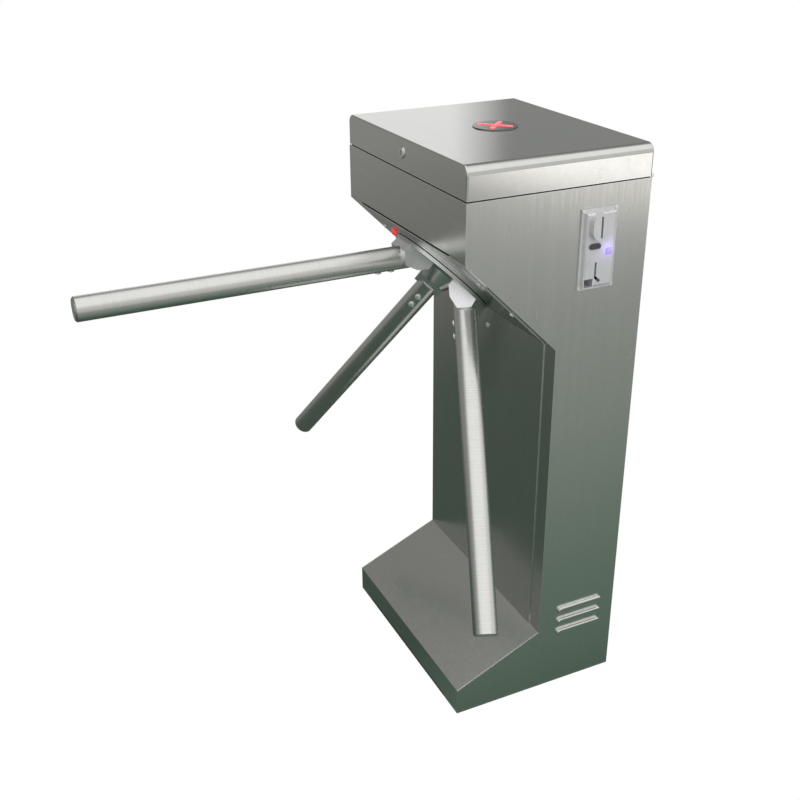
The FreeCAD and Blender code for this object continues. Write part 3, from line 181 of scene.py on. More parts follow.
# %% Start of a group
def new_group(name, inputs, outputs):
    """An empty group with its sockets, its input node and its output node."""
    group = bpy.data.node_groups.new(name, "ShaderNodeTree")
    for label, kind, value in inputs:
        socket = group.interface.new_socket(name=label, in_out="INPUT", socket_type=kind)
        if value is not None:
            socket.default_value = value
    for label in outputs:
        group.interface.new_socket(name=label, in_out="OUTPUT", socket_type="NodeSocketFloat")
    return group, group.nodes.new("NodeGroupInput").outputs, group.nodes.new("NodeGroupOutput").inputs


NUMBER, ARROW = "NodeSocketFloat", "NodeSocketVector"
print("group helper ready")

# %% Belt grain: a noise that is stretched along the brushing
PATCH_SHARE = 0.07
grain, given, out = new_group(
    "belt_grain", [("Place", ARROW, None), ("Stretch", ARROW, (1, 1, 1))], ["Streak", "Patch"])
stretched = vectors(grain, "MULTIPLY", given["Place"], given["Stretch"])
fine = add(grain, "ShaderNodeTexNoise", Vector=stretched, Scale=1.0, Detail=4.0, Roughness=0.72)
broadened = vectors(grain, "MULTIPLY", stretched, (PATCH_SHARE, PATCH_SHARE, PATCH_SHARE))
coarse = add(grain, "ShaderNodeTexNoise", Vector=broadened, Scale=1.0, Detail=2.0, Roughness=0.5)
grain.links.new(spread(grain, fine.outputs["Fac"], 0.28, 0.72), out["Streak"])
grain.links.new(spread(grain, coarse.outputs["Fac"], 0.35, 0.65), out["Patch"])
print("group", grain.name)

# %% Ring grain: a noise along a tube's own line, so that it runs round the tube
BAND_FINENESS = 70.0
ring, given, out = new_group(
    "ring_grain", [("Place", ARROW, None), ("Line", ARROW, (0, 0, 1)), ("Fineness", NUMBER, 900.0)],
    ["Ring", "Band"])
along = vectors(ring, "DOT_PRODUCT", given["Place"], given["Line"])
narrow = add(ring, "ShaderNodeTexNoise", {"noise_dimensions": "1D"}, Detail=3.0, Roughness=0.7,
             W=sums(ring, "MULTIPLY", along, given["Fineness"]), Scale=1.0)
broad = add(ring, "ShaderNodeTexNoise", {"noise_dimensions": "1D"}, Detail=2.0,
            W=sums(ring, "MULTIPLY", along, BAND_FINENESS), Scale=1.0)
ring.links.new(spread(ring, narrow.outputs["Fac"], 0.3, 0.7), out["Ring"])
ring.links.new(spread(ring, broad.outputs["Fac"], 0.35, 0.65), out["Band"])
print("group", ring.name)

# %% Turned finish: rings round an axis, left by a lathe tool
lathe, given, out = new_group(
    "lathe_rings", [("Place", ARROW, None), ("Centre", ARROW, (0, 0, 0)), ("Axis", ARROW, (0, 0, 1)),
                    ("Fineness", NUMBER, 1500.0)], ["Ring", "Sweep"])
away = vectors(lathe, "SUBTRACT", given["Place"], given["Centre"])
radius = vectors(lathe, "LENGTH", vectors(lathe, "CROSS_PRODUCT", away, given["Axis"]))
tool = add(lathe, "ShaderNodeTexNoise", {"noise_dimensions": "1D"}, Detail=2.0, Scale=1.0,
           W=sums(lathe, "MULTIPLY", radius, given["Fineness"]))
cloud = add(lathe, "ShaderNodeTexNoise", Vector=away, Scale=35.0, Detail=3.0)
lathe.links.new(spread(lathe, tool.outputs["Fac"], 0.3, 0.7), out["Ring"])
lathe.links.new(spread(lathe, cloud.outputs["Fac"], 0.35, 0.7), out["Sweep"])
print("group", lathe.name)

# %% Smudges: wiped patches and finger marks
FINGERS_PER_WIPE = 5.0
SPOT_SHARE, WIPE_SHARE = 0.35, 0.65
smudge, given, out = new_group(
    "smudges", [("Place", ARROW, None), ("Size", NUMBER, 9.0)], ["Smudge"])
wipe = add(smudge, "ShaderNodeTexNoise", Vector=given["Place"], Scale=given["Size"], Detail=5.0,
           Roughness=0.6, Distortion=0.8)
finger_scale = sums(smudge, "MULTIPLY", given["Size"], FINGERS_PER_WIPE)
finger = add(smudge, "ShaderNodeTexVoronoi", Vector=given["Place"], Scale=finger_scale)
spots = spread(smudge, finger.outputs["Distance"], 0.05, 0.3, 1.0, 0.0)
spotted = sums(smudge, "MULTIPLY_ADD", spots, SPOT_SHARE, WIPE_SHARE)
wiped = spread(smudge, wipe.outputs["Fac"], 0.45, 0.75)
smudge.links.new(sums(smudge, "MULTIPLY", wiped, spotted), out["Smudge"])
print("group", smudge.name)

# %% Scratches: a few long fine lines
SCRATCH_WIDTH = 0.012
scratch, given, out = new_group(
    "scratches", [("Place", ARROW, None), ("Run", ARROW, (60, 60, 5))], ["Scratch"])
drift = add(scratch, "ShaderNodeTexNoise", Vector=given["Place"], Scale=6.0)
drawn_out = vectors(scratch, "MULTIPLY", given["Place"], given["Run"])
bent = vectors(scratch, "ADD", drawn_out, drift.outputs["Color"])
cells = add(scratch, "ShaderNodeTexVoronoi", {"feature": "DISTANCE_TO_EDGE"}, Vector=bent, Scale=1.0)
line = spread(scratch, cells.outputs["Distance"], 0.0, SCRATCH_WIDTH, 1.0, 0.0)
scatter = add(scratch, "ShaderNodeTexNoise", Vector=given["Place"], Scale=23.0, Detail=1.0)
scratch.links.new(sums(scratch, "MULTIPLY", line, spread(scratch, scatter.outputs["Fac"], 0.56, 0.66)),
                  out["Scratch"])
print("group", scratch.name)

# %% Floor dust: thickest at the floor, gone at the height called Top
dust, given, out = new_group(
    "floor_dust", [("Place", ARROW, None), ("Top", NUMBER, 0.16)], ["Dust"])
level = add(dust, "ShaderNodeSeparateXYZ", Vector=given["Place"]).outputs["Z"]
low_part = add(dust, "ShaderNodeMapRange", Value=level, From_Min=0.0, To_Min=1.0, To_Max=0.0)
dust.links.new(given["Top"], low_part.inputs["From Max"])
speckle = add(dust, "ShaderNodeTexNoise", Vector=given["Place"], Scale=85.0, Detail=6.0, Roughness=0.75)
drifted = sums(dust, "MULTIPLY", low_part.outputs["Result"], spread(dust, speckle.outputs["Fac"], 0.35, 0.75))
dust.links.new(drifted, out["Dust"])
print("group", dust.name)

# %% Worn edges: where the rounded normal leaves the true one
wear, given, out = new_group(
    "edge_wear", [("Place", ARROW, None), ("Reach", NUMBER, 0.0015)], ["Edge"])
soft_normal = add(wear, "ShaderNodeBevel", {"samples": 4}, Radius=given["Reach"]).outputs["Normal"]
true_normal = add(wear, "ShaderNodeNewGeometry").outputs["Normal"]
apart = sums(wear, "SUBTRACT", 1.0, vectors(wear, "DOT_PRODUCT", soft_normal, true_normal))
chips = add(wear, "ShaderNodeTexNoise", Vector=given["Place"], Scale=190.0, Detail=3.0)
wear.links.new(sums(wear, "MULTIPLY", spread(wear, apart, 0.02, 0.2),
                    spread(wear, chips.outputs["Fac"], 0.3, 0.6)), out["Edge"])
print("group", wear.name)

# %% [markdown]
# ## A material and its base
#
# Each finish starts the same way: a material with a Principled BSDF and the Object coordinates, which stay
# with a piece as it moves. `use` places one of the groups above with this material's own numbers.

# %% Material helpers
def new_material(name, **constants):
    """A material: its tree, its Principled node and its Object coordinates."""
    made = bpy.data.materials.new(name)
    made.use_nodes = True
    tree = made.node_tree
    shader = tree.nodes["Principled BSDF"]
    for key, value in constants.items():
        shader.inputs[key.replace("_", " ")].default_value = value
    return made, tree, shader, tree.nodes.new("ShaderNodeTexCoord").outputs["Object"]


def use(tree, group, **inputs):
    """The outputs of a group placed in a material."""
    made = add(tree, "ShaderNodeGroup", {"node_tree": group}, **inputs)
    return made.outputs


def bump(tree, shader, height, depth, strength=1.0):
    """Feeds a height to the shader's normal; the depth is the relief in metres."""
    made = add(tree, "ShaderNodeBump", Strength=strength, Distance=depth, Height=height)
    tree.links.new(made.outputs["Normal"], shader.inputs["Normal"])


def rgb(red, green, blue):
    return (red, green, blue, 1.0)


DUST_COLOUR = rgb(0.34, 0.33, 0.29)
finishes = {}
print("material helpers ready")

# %% [markdown]
# ## Brushed stainless sheet
#
# The cabinet is folded from 1.5 mm stainless sheet. The belt runs up the tall panels, and across the lid,
# the head and the foot, so one function makes them all, with the noise stretched along the belt. The lid
# has the same grain as the head but a higher polish. The streaks move the colour and the roughness a little
# and give a very shallow relief. Smudges, a few scratches, dust near the floor and worn edges come on top.
# The edge band is made wide and bright, so it is partly real wear and partly a painted edge highlight.

# %% Brushed sheet
# The pale edge colour and the wide edge reach are worn edges plus a painted edge highlight.
STEEL_LIGHT, STEEL_DARK, STEEL_WORN_EDGE_HIGHLIGHT = rgb(0.68, 0.685, 0.665), rgb(0.6, 0.61, 0.585), rgb(0.92, 0.92, 0.9)
SHEET_DUST_TOP, SHEET_WEAR_HIGHLIGHT_REACH, SHEET_RELIEF = 0.11, 0.0024, 0.00002


def brushed_sheet(name, stretch, scratch_run, smooth, rough):
    made, tree, shader, place = new_material(name, Metallic=1.0)
    streak = use(tree, grain, Place=place, Stretch=stretch)
    marks = use(tree, smudge, Place=place, Size=7.0)["Smudge"]
    lines = use(tree, scratch, Place=place, Run=scratch_run)["Scratch"]
    settled = use(tree, dust, Place=place, Top=SHEET_DUST_TOP)["Dust"]
    worn = use(tree, wear, Place=place, Reach=SHEET_WEAR_HIGHLIGHT_REACH)["Edge"]
    steel = blend_colours(tree, streak["Streak"], STEEL_DARK, STEEL_LIGHT)
    steel = blend_colours(tree, sums(tree, "MULTIPLY", streak["Patch"], 0.3), steel, STEEL_DARK)
    # Bright edge band: part real wear, part painted edge highlight along the folds.
    steel = blend_colours(tree, worn, steel, STEEL_WORN_EDGE_HIGHLIGHT)
    steel = blend_colours(tree, sums(tree, "MULTIPLY", settled, 0.12), steel, DUST_COLOUR)
    tree.links.new(steel, shader.inputs["Base Color"])
    gloss = spread(tree, streak["Streak"], 0.0, 1.0, rough, smooth)
    gloss = sums(tree, "MULTIPLY_ADD", marks, 0.05, gloss)
    gloss = sums(tree, "MULTIPLY_ADD", settled, 0.12, gloss)
    gloss = sums(tree, "MULTIPLY_ADD", lines, 0.1, gloss)
    tree.links.new(gloss, shader.inputs["Roughness"])
    relief = sums(tree, "MULTIPLY_ADD", lines, -0.6, streak["Streak"])
    bump(tree, shader, relief, SHEET_RELIEF, 0.3)
    return made


ACROSS, UPRIGHT = (16, 1400, 1400), (1400, 1400, 16)
SCRATCHED_ACROSS, SCRATCHED_UP = (4, 70, 70), (70, 70, 4)
SHEETS = {"sheet_upright": (UPRIGHT, SCRATCHED_UP, 0.16, 0.24),
          "sheet_across": (ACROSS, SCRATCHED_ACROSS, 0.16, 0.24),
          "sheet_lid": (ACROSS, SCRATCHED_ACROSS, 0.07, 0.12)}
for name, (stretch, scratch_run, smooth, rough) in SHEETS.items():
    finishes[name] = brushed_sheet(name, stretch, scratch_run, smooth, rough)
print("sheet finishes:", len(finishes))

# %% [markdown]
# ## Brushed tube
#
# The arms were polished while they turned, so their grain runs round the tube in fine rings. Each arm
# points its own way, and its material measures along that line.

# %% Arm directions and tube steel
ARM_LINES = [(0.0, -1.0, 0.0), (-0.61237, -0.25, -0.75), (0.61237, -0.25, -0.75)]


def brushed_tube(name, line):
    made, tree, shader, place = new_material(name, Metallic=1.0)
    rings = use(tree, ring, Place=place, Line=line, Fineness=1100.0)
    marks = use(tree, smudge, Place=place, Size=14.0)["Smudge"]
    steel = blend_colours(tree, rings["Ring"], rgb(0.6, 0.605, 0.59), rgb(0.76, 0.76, 0.745))
    steel = blend_colours(tree, sums(tree, "MULTIPLY", rings["Band"], 0.25), steel, rgb(0.64, 0.64, 0.62))
    tree.links.new(steel, shader.inputs["Base Color"])
    rough = sums(tree, "MULTIPLY_ADD", marks, 0.12, spread(tree, rings["Ring"], 0.0, 1.0, 0.34, 0.22))
    tree.links.new(rough, shader.inputs["Roughness"])
    bump(tree, shader, rings["Ring"], 0.00003, 0.4)
    return made


for number, line in enumerate(ARM_LINES, start=1):
    finishes[f"tube_{number}"] = brushed_tube(f"tube_{number}", line)
print("arm finishes:", len(ARM_LINES))

# %% [markdown]
# ## Cast, turned and plated metal
#
# The sockets that hold the arms are cast and blasted, so they are light and a little grainy. The screws use
# the same function with a finer grain. The disc behind the sockets and the shaft parts are turned on a
# lathe, and show its rings about the hub's line. Brackets are plated, with the pale flowers that zinc grows
# as it sets.

# %% Cast sockets, and screws
CAST_RELIEF, CAST_SHADE = 0.00012, 0.86


def cast_metal(name, base, rough_low, rough_high, pebble, metallic):
    made, tree, shader, place = new_material(name, Metallic=metallic, Specular_IOR_Level=0.6)
    skin = add(tree, "ShaderNodeTexNoise", Vector=place, Scale=pebble, Detail=6.0,
               Roughness=0.65).outputs["Fac"]
    cloudy = add(tree, "ShaderNodeTexNoise", Vector=place, Scale=28.0, Detail=3.0).outputs["Fac"]
    worn = use(tree, wear, Place=place, Reach=0.0016)["Edge"]
    shaded = rgb(*(CAST_SHADE * part for part in base[:3]))
    body = blend_colours(tree, spread(tree, cloudy, 0.3, 0.7), base, shaded)
    tree.links.new(blend_colours(tree, worn, body, rgb(0.95, 0.95, 0.95)), shader.inputs["Base Color"])
    tree.links.new(spread(tree, skin, 0.3, 0.7, rough_low, rough_high), shader.inputs["Roughness"])
    bump(tree, shader, skin, CAST_RELIEF, 0.5)
    return made


finishes["cast_socket"] = cast_metal(
    "cast_socket", rgb(0.86, 0.86, 0.88), rough_low=0.22, rough_high=0.36, pebble=900.0, metallic=0.92)
finishes["fastener"] = cast_metal(
    "fastener", rgb(0.9, 0.9, 0.89), rough_low=0.18, rough_high=0.32, pebble=1600.0, metallic=0.6)
print("cast finishes made")

# %% Turned steel round the hub's line
HUB_CENTRE = (0.0, -0.0822426, 0.7582426)
HUB_LINE = (0.0, -math.sqrt(0.5), -math.sqrt(0.5))
TURNED_RELIEF = 0.00005


def turned_steel(name, dark, light, rough_low, rough_high, fineness):
    made, tree, shader, place = new_material(name, Metallic=1.0)
    turned = use(tree, lathe, Place=place, Centre=HUB_CENTRE, Axis=HUB_LINE, Fineness=fineness)
    marks = use(tree, smudge, Place=place, Size=25.0)["Smudge"]
    worn = use(tree, wear, Place=place, Reach=0.001)["Edge"]
    steel = blend_colours(tree, turned["Ring"], dark, light)
    steel = blend_colours(tree, sums(tree, "MULTIPLY", turned["Sweep"], 0.3), steel, dark)
    tree.links.new(blend_colours(tree, worn, steel, rgb(0.88, 0.88, 0.86)), shader.inputs["Base Color"])
    rough = spread(tree, turned["Ring"], 0.0, 1.0, rough_high, rough_low)
    rough = sums(tree, "MULTIPLY_ADD", marks, 0.14, rough)
    tree.links.new(rough, shader.inputs["Roughness"])
    bump(tree, shader, turned["Ring"], TURNED_RELIEF, 0.5)
    return made


TURNED = {"hub_dark": (rgb(0.4, 0.42, 0.405), rgb(0.52, 0.53, 0.51), 0.14, 0.24, 1500.0),
          "disc_steel": (rgb(0.5, 0.51, 0.5), rgb(0.7, 0.7, 0.68), 0.2, 0.32, 900.0),
          "machined_steel": (rgb(0.46, 0.46, 0.46), rgb(0.6, 0.6, 0.59), 0.22, 0.36, 1500.0),
          "bearing_steel": (rgb(0.66, 0.66, 0.67), rgb(0.82, 0.82, 0.83), 0.1, 0.2, 2600.0)}
for name, (dark, light, rough_low, rough_high, fineness) in TURNED.items():
    finishes[name] = turned_steel(name, dark, light, rough_low, rough_high, fineness)
print("turned finishes made")

# %% Zinc plate with its flowers
def zinc_plate(name):
    made, tree, shader, place = new_material(name, Metallic=1.0)
    flower = add(tree, "ShaderNodeTexVoronoi", Vector=place, Scale=95.0, Randomness=0.9)
    tone = add(tree, "ShaderNodeSeparateColor", Color=flower.outputs["Color"]).outputs["Red"]
    worn = use(tree, wear, Place=place, Reach=0.001)["Edge"]
    settled = use(tree, dust, Place=place, Top=0.3)["Dust"]
    plate = blend_colours(tree, tone, rgb(0.5, 0.52, 0.54), rgb(0.66, 0.67, 0.66))
    plate = blend_colours(tree, worn, plate, rgb(0.8, 0.8, 0.8))
    plate = blend_colours(tree, sums(tree, "MULTIPLY", settled, 0.4), plate, DUST_COLOUR)
    tree.links.new(plate, shader.inputs["Base Color"])
    tree.links.new(spread(tree, tone, 0.0, 1.0, 0.34, 0.5), shader.inputs["Roughness"])
    bump(tree, shader, flower.outputs["Distance"], 0.00004, 0.4)
    return made


finishes["zinc_plate"] = zinc_plate("zinc_plate")
print("zinc finish made")

# %% [markdown]
# ## Plastics, rubber and the coin plate
#
# Moulded plastic has a fine leathery texture from its mould. The coin plate is plastic too, under a silver
# paint that holds tiny flakes, and its edges shine where sleeves and coins rub it. The seal is matt rubber.

# %% Moulded plastic and rubber
CLOUD_LIGHT, CLOUD_GLOSS = 1.25, 0.07


def moulded(name, base, worn_colour, roughness, grain_scale, relief):
    made, tree, shader, place = new_material(name, Specular_IOR_Level=0.45)
    leather = add(tree, "ShaderNodeTexVoronoi", {"feature": "SMOOTH_F1"}, Vector=place, Scale=grain_scale)
    cloudy = add(tree, "ShaderNodeTexNoise", Vector=place, Scale=45.0, Detail=4.0).outputs["Fac"]
    worn = use(tree, wear, Place=place, Reach=0.0012)["Edge"]
    settled = use(tree, dust, Place=place, Top=0.4)["Dust"]
    lighter = rgb(*(CLOUD_LIGHT * part for part in base[:3]))
    body = blend_colours(tree, spread(tree, cloudy, 0.3, 0.7), base, lighter)
    body = blend_colours(tree, worn, body, worn_colour)
    body = blend_colours(tree, sums(tree, "MULTIPLY", settled, 0.25), body, DUST_COLOUR)
    tree.links.new(body, shader.inputs["Base Color"])
    gloss = spread(tree, cloudy, 0.3, 0.7, roughness - CLOUD_GLOSS, roughness + CLOUD_GLOSS)
    tree.links.new(gloss, shader.inputs["Roughness"])
    bump(tree, shader, leather.outputs["Distance"], relief, 0.4)
    return made


MOULDED = {"black_plastic": (rgb(0.022, 0.022, 0.024), rgb(0.09, 0.09, 0.09), 0.45, 1100.0, 0.00008),
           "seal_rubber": (rgb(0.018, 0.018, 0.017), rgb(0.05, 0.05, 0.05), 0.8, 700.0, 0.00006),
           "button_dark": (rgb(0.05, 0.05, 0.055), rgb(0.2, 0.2, 0.2), 0.38, 1300.0, 0.00005)}
for name, (base, worn_colour, roughness, grain_scale, relief) in MOULDED.items():
    finishes[name] = moulded(name, base, worn_colour, roughness, grain_scale, relief)
print("moulded finishes:", len(MOULDED))

# %% Silver paint on the coin plate
def silver_paint(name):
    made, tree, shader, place = new_material(name, Coat_Roughness=0.2, Specular_IOR_Level=0.5)
    flake = add(tree, "ShaderNodeTexVoronoi", Vector=place, Scale=1500.0)
    glint = add(tree, "ShaderNodeSeparateColor", Color=flake.outputs["Color"]).outputs["Green"]
    cloudy = add(tree, "ShaderNodeTexNoise", Vector=place, Scale=40.0, Detail=4.0).outputs["Fac"]
    worn = use(tree, wear, Place=place, Reach=0.0016)["Edge"]
    paint = blend_colours(tree, glint, rgb(0.6, 0.6, 0.62), rgb(0.8, 0.8, 0.82))
    dull = sums(tree, "MULTIPLY", spread(tree, cloudy, 0.5, 0.8), 0.3)
    paint = blend_colours(tree, dull, paint, rgb(0.5, 0.5, 0.52))
    tree.links.new(blend_colours(tree, worn, paint, rgb(0.95, 0.95, 0.95)), shader.inputs["Base Color"])
    tree.links.new(spread(tree, glint, 0.0, 1.0, 0.35, 0.6), shader.inputs["Metallic"])
    tree.links.new(spread(tree, cloudy, 0.3, 0.7, 0.3, 0.42), shader.inputs["Roughness"])
    tree.links.new(spread(tree, glint, 0.2, 0.9, 0.2, 0.6), shader.inputs["Coat Weight"])
    bump(tree, shader, glint, 0.00002, 0.3)
    return made


finishes["coin_silver"] = silver_paint("coin_silver")
print("paint made")

# %% [markdown]
# ## Lamps and the display window
#
# A lit lens glows most where it is thick, so its glow is patterned: ribs, set wider or closer for each
# lens, with soft patches over them. The display window is smoked acrylic, nearly black, with a hard gloss,
# a few smudges and fine wiping scratches.

# %% Glowing lenses
def lens(name, glow_low, glow_high, strength, ribs):
    made, tree, shader, place = new_material(
        name, Roughness=0.18, Specular_IOR_Level=0.6, Emission_Strength=strength, Coat_Roughness=0.05)
    wave = add(tree, "ShaderNodeTexWave", {"wave_type": "BANDS", "bands_direction": "X"},
               Vector=place, Scale=ribs, Distortion=0.6, Detail=1.0).outputs["Fac"]
    cloudy = add(tree, "ShaderNodeTexNoise", Vector=place, Scale=260.0, Detail=3.0).outputs["Fac"]
    thickness = sums(tree, "MULTIPLY", wave, spread(tree, cloudy, 0.2, 0.7))
    glow = blend_colours(tree, thickness, glow_low, glow_high)
    tree.links.new(glow, shader.inputs["Base Color"])
    tree.links.new(glow, shader.inputs["Emission Color"])
    bump(tree, shader, wave, 0.0002, 0.5)
    return made


LENSES = {"lamp_red": (rgb(0.5, 0.03, 0.035), rgb(0.9, 0.1, 0.1), 0.55, 120.0),
          "led_red": (rgb(0.85, 0.07, 0.09), rgb(1.0, 0.22, 0.24), 1.1, 300.0),
          "light_blue": (rgb(0.16, 0.12, 0.6), rgb(0.45, 0.4, 1.0), 1.0, 90.0)}
for name, (glow_low, glow_high, strength, ribs) in LENSES.items():
    finishes[name] = lens(name, glow_low, glow_high, strength, ribs)
print("lens finishes:", len(LENSES))

# %% Smoked window
def smoked_window(name):
    made, tree, shader, place = new_material(name, Specular_IOR_Level=0.55, Coat_Roughness=0.04)
    marks = use(tree, smudge, Place=place, Size=40.0)["Smudge"]
    lines = use(tree, scratch, Place=place, Run=(260, 45, 45))["Scratch"]
    veil = sums(tree, "MULTIPLY", sums(tree, "MAXIMUM", marks, lines), 0.35)
    smoke = blend_colours(tree, veil, rgb(0.014, 0.011, 0.012), rgb(0.11, 0.1, 0.1))
    tree.links.new(smoke, shader.inputs["Base Color"])
    tree.links.new(sums(tree, "MULTIPLY_ADD", marks, 0.2, 0.07), shader.inputs["Roughness"])
    tree.links.new(sums(tree, "MULTIPLY_ADD", marks, -0.4, 0.9), shader.inputs["Coat Weight"])
    bump(tree, shader, lines, 0.00002, -0.4)
    return made


finishes["display_smoke"] = smoked_window("display_smoke")
print("window made")

# %% [markdown]
# ## Circuit board and coils
#
# These are only seen with the lid open. The board is green lacquer over copper tracks that run square to
# its edges, so a Voronoi cell pattern with square distance draws them. The coils are copper wire, wound in
# fine turns.

# %% Board and coils
def circuit_board(name):
    made, tree, shader, place = new_material(name, Specular_IOR_Level=0.5, Coat_Roughness=0.15)
    tracks = add(tree, "ShaderNodeTexVoronoi", {"distance": "MANHATTAN"}, Vector=place, Scale=130.0)
    copper = spread(tree, tracks.outputs["Distance"], 0.46, 0.52)
    pads = spread(tree, tracks.outputs["Distance"], 0.12, 0.16, 1.0, 0.0)
    board = blend_colours(tree, copper, rgb(0.012, 0.1, 0.035), rgb(0.03, 0.2, 0.07))
    board = blend_colours(tree, pads, board, rgb(0.62, 0.6, 0.56))
    tree.links.new(board, shader.inputs["Base Color"])
    tree.links.new(pads, shader.inputs["Metallic"])
    tree.links.new(spread(tree, copper, 0.0, 1.0, 0.42, 0.3), shader.inputs["Roughness"])
    tree.links.new(spread(tree, pads, 0.0, 1.0, 0.5, 0.0), shader.inputs["Coat Weight"])
    bump(tree, shader, sums(tree, "ADD", copper, pads), 0.00008, 0.5)
    return made


def wound_coil(name):
    made, tree, shader, place = new_material(name, Metallic=1.0)
    turns = add(tree, "ShaderNodeTexWave", {"wave_type": "BANDS", "bands_direction": "X"},
                Vector=place, Scale=330.0, Distortion=0.3).outputs["Fac"]
    patch = use(tree, smudge, Place=place, Size=30.0)["Smudge"]
    wire = blend_colours(tree, turns, rgb(0.3, 0.12, 0.05), rgb(0.75, 0.36, 0.19))
    tree.links.new(blend_colours(tree, patch, wire, rgb(0.42, 0.3, 0.24)), shader.inputs["Base Color"])
    tree.links.new(sums(tree, "MULTIPLY_ADD", patch, 0.2, 0.3), shader.inputs["Roughness"])
    bump(tree, shader, turns, 0.00025, 0.7)
    return made


finishes["board_green"] = circuit_board("board_green")
finishes["coil_frame"] = wound_coil("coil_frame")
print("finishes:", len(finishes))

# %% [markdown]
# ## Which node takes which finish
#
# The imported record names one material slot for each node. The finish has the slot's name, apart from sheets
# and arm tubes, which are told apart by the way their grain runs, and the arms' end caps, which are turned.

# %% Assign the finishes
SHEETS_UPRIGHT = ("side_panel_left", "side_panel_right", "column_cover", "back_panel")
OWN_FINISH = {"arm_tube_1": "tube_1", "arm_tube_2": "tube_2", "arm_tube_3": "tube_3",
              "arm_end_caps": "disc_steel"}


def finish_of(name, slot):
    if name == "lid":
        return "sheet_lid"
    if slot == "brushed_panel":
        return "sheet_upright" if name in SHEETS_UPRIGHT else "sheet_across"
    return OWN_FINISH.get(name, slot)


slots = {}
for name, node in nodes.items():
    slots[name] = node.material_slots[0].material.name.split(".")[0]
    for holder in node.material_slots:
        holder.material = finishes[finish_of(name, slots[name])]
print("finished nodes:", len(slots))

# %% [markdown]
# ## Soft edges
#
# A folded sheet, a casting or a moulded plate never has a perfectly sharp edge, and the thin bright line
# that a soft edge catches says "metal" more than any texture. The CAD nodes are left as they are. Eleven of
# the seen ones get a copy that stands for them: its loose triangles are merged, the flat ones joined, and a
# Bevel modifier rounds what is left sharp. The lid is rounded in the CAD and needs none.
#
# Large flat faces beside a narrow bevel would shade as if they bulged, so a Weighted Normal modifier lets
# the large faces decide how the edges are lit.

# %% Selecting one piece
def only(piece):
    """Selects one piece and nothing else."""
    bpy.ops.object.select_all(action="DESELECT")
    piece.select_set(True)
    bpy.context.view_layer.objects.active = piece


print("selection helper ready")

# %% A copy with soft edges
MERGE_DISTANCE = 0.00002
FLAT_WITHIN, SHARP_ABOVE, SMOOTH_BELOW = math.radians(0.5), math.radians(35), math.radians(30)
BEVEL_STEPS, LARGE_FACE_WEIGHT = 3, 100


def eased(node, width, body):
    """Stands a merged, bevelled copy in for a CAD node, on that node's body."""
    copy = bpy.data.objects.new(f"{node}_eased", nodes[node].data.copy())
    bpy.context.scene.collection.objects.link(copy)
    only(copy)
    bpy.ops.object.mode_set(mode="EDIT")
    bpy.ops.mesh.select_all(action="SELECT")
    bpy.ops.mesh.customdata_custom_splitnormals_clear()
    bpy.ops.mesh.remove_doubles(threshold=MERGE_DISTANCE)
    bpy.ops.mesh.dissolve_limited(angle_limit=FLAT_WITHIN)
    bpy.ops.object.mode_set(mode="OBJECT")
    bpy.ops.object.modifier_add(type="BEVEL")
    rounding = copy.modifiers[-1]
    rounding.width = width
    rounding.segments = BEVEL_STEPS
    rounding.limit_method = "ANGLE"
    rounding.angle_limit = SHARP_ABOVE
    rounding.use_clamp_overlap = True
    bpy.ops.object.modifier_apply(modifier=rounding.name)
    bpy.ops.object.shade_smooth_by_angle(angle=SMOOTH_BELOW)
    bpy.ops.object.modifier_add(type="WEIGHTED_NORMAL")
    weighting = copy.modifiers[-1]
    weighting.keep_sharp = True
    weighting.weight = LARGE_FACE_WEIGHT
    bpy.ops.object.modifier_apply(modifier=weighting.name)
    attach(copy, body)
    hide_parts(node)
    print(f"{copy.name}: {len(copy.data.polygons)} faces")


# %% Ease the seen pieces
EDGE_WIDTHS = {"arm_sockets": 0.0009, "coin_faceplate": 0.0008, "coin_reject_button": 0.0006,
               "coin_status_light": 0.0012, "side_panel_left": 0.0007, "side_panel_right": 0.0007,
               "head_front_panel": 0.0007, "foot_cover": 0.0007, "column_cover": 0.0006,
               "back_panel": 0.0007, "slope_panel": 0.0006}
MOVING_BODY = {"arm_sockets": "tripod", "coin_reject_button": "reject_button"}
for name, edge_width in EDGE_WIDTHS.items():
    eased(name, edge_width, MOVING_BODY.get(name, "cabinet"))
print("eased pieces:", len(EDGE_WIDTHS))

# %% [markdown]
# ## Red display
#
# On a real turnstile a matrix of red lamps sits under the lid's smoked window. The window's finish here
# lets no light through, so the lit lamps of a plain cross stand on top of it instead, about 1.5 mm proud.
# Each is a small domed lens: a cylinder whose top is inset and pulled up, modelled once and copied.

# %% One lens
LENS_RADIUS, LENS_RISE, LENS_SIDES = 0.0021, 0.0011, 12
DOME_STEPS = ((0.35, 0.45), (0.3, 0.15))
FACING_UP, DOME_SMOOTH_BELOW = 0.9, math.radians(50)


def domed_lens(radius, rise):
    """A short cylinder on the origin, with its top face inset and raised twice into a dome."""
    bpy.ops.object.select_all(action="DESELECT")
    bpy.ops.mesh.primitive_cylinder_add(
        vertices=LENS_SIDES, radius=radius, depth=rise, location=(0, 0, rise / 2))
    made = bpy.context.object
    bpy.ops.object.transform_apply(location=True, rotation=True, scale=True)
    bpy.ops.object.mode_set(mode="EDIT")
    bpy.ops.mesh.select_all(action="DESELECT")
    bpy.ops.object.mode_set(mode="OBJECT")
    for face in made.data.polygons:
        face.select = face.normal.z > FACING_UP
    bpy.ops.object.mode_set(mode="EDIT")
    for inward, upward in DOME_STEPS:
        bpy.ops.mesh.inset(thickness=radius * inward, depth=rise * upward)
    bpy.ops.object.mode_set(mode="OBJECT")
    bpy.ops.object.shade_smooth_by_angle(angle=DOME_SMOOTH_BELOW)
    return made


first_lens = domed_lens(LENS_RADIUS, LENS_RISE)
print("one lens:", len(first_lens.data.polygons), "faces")

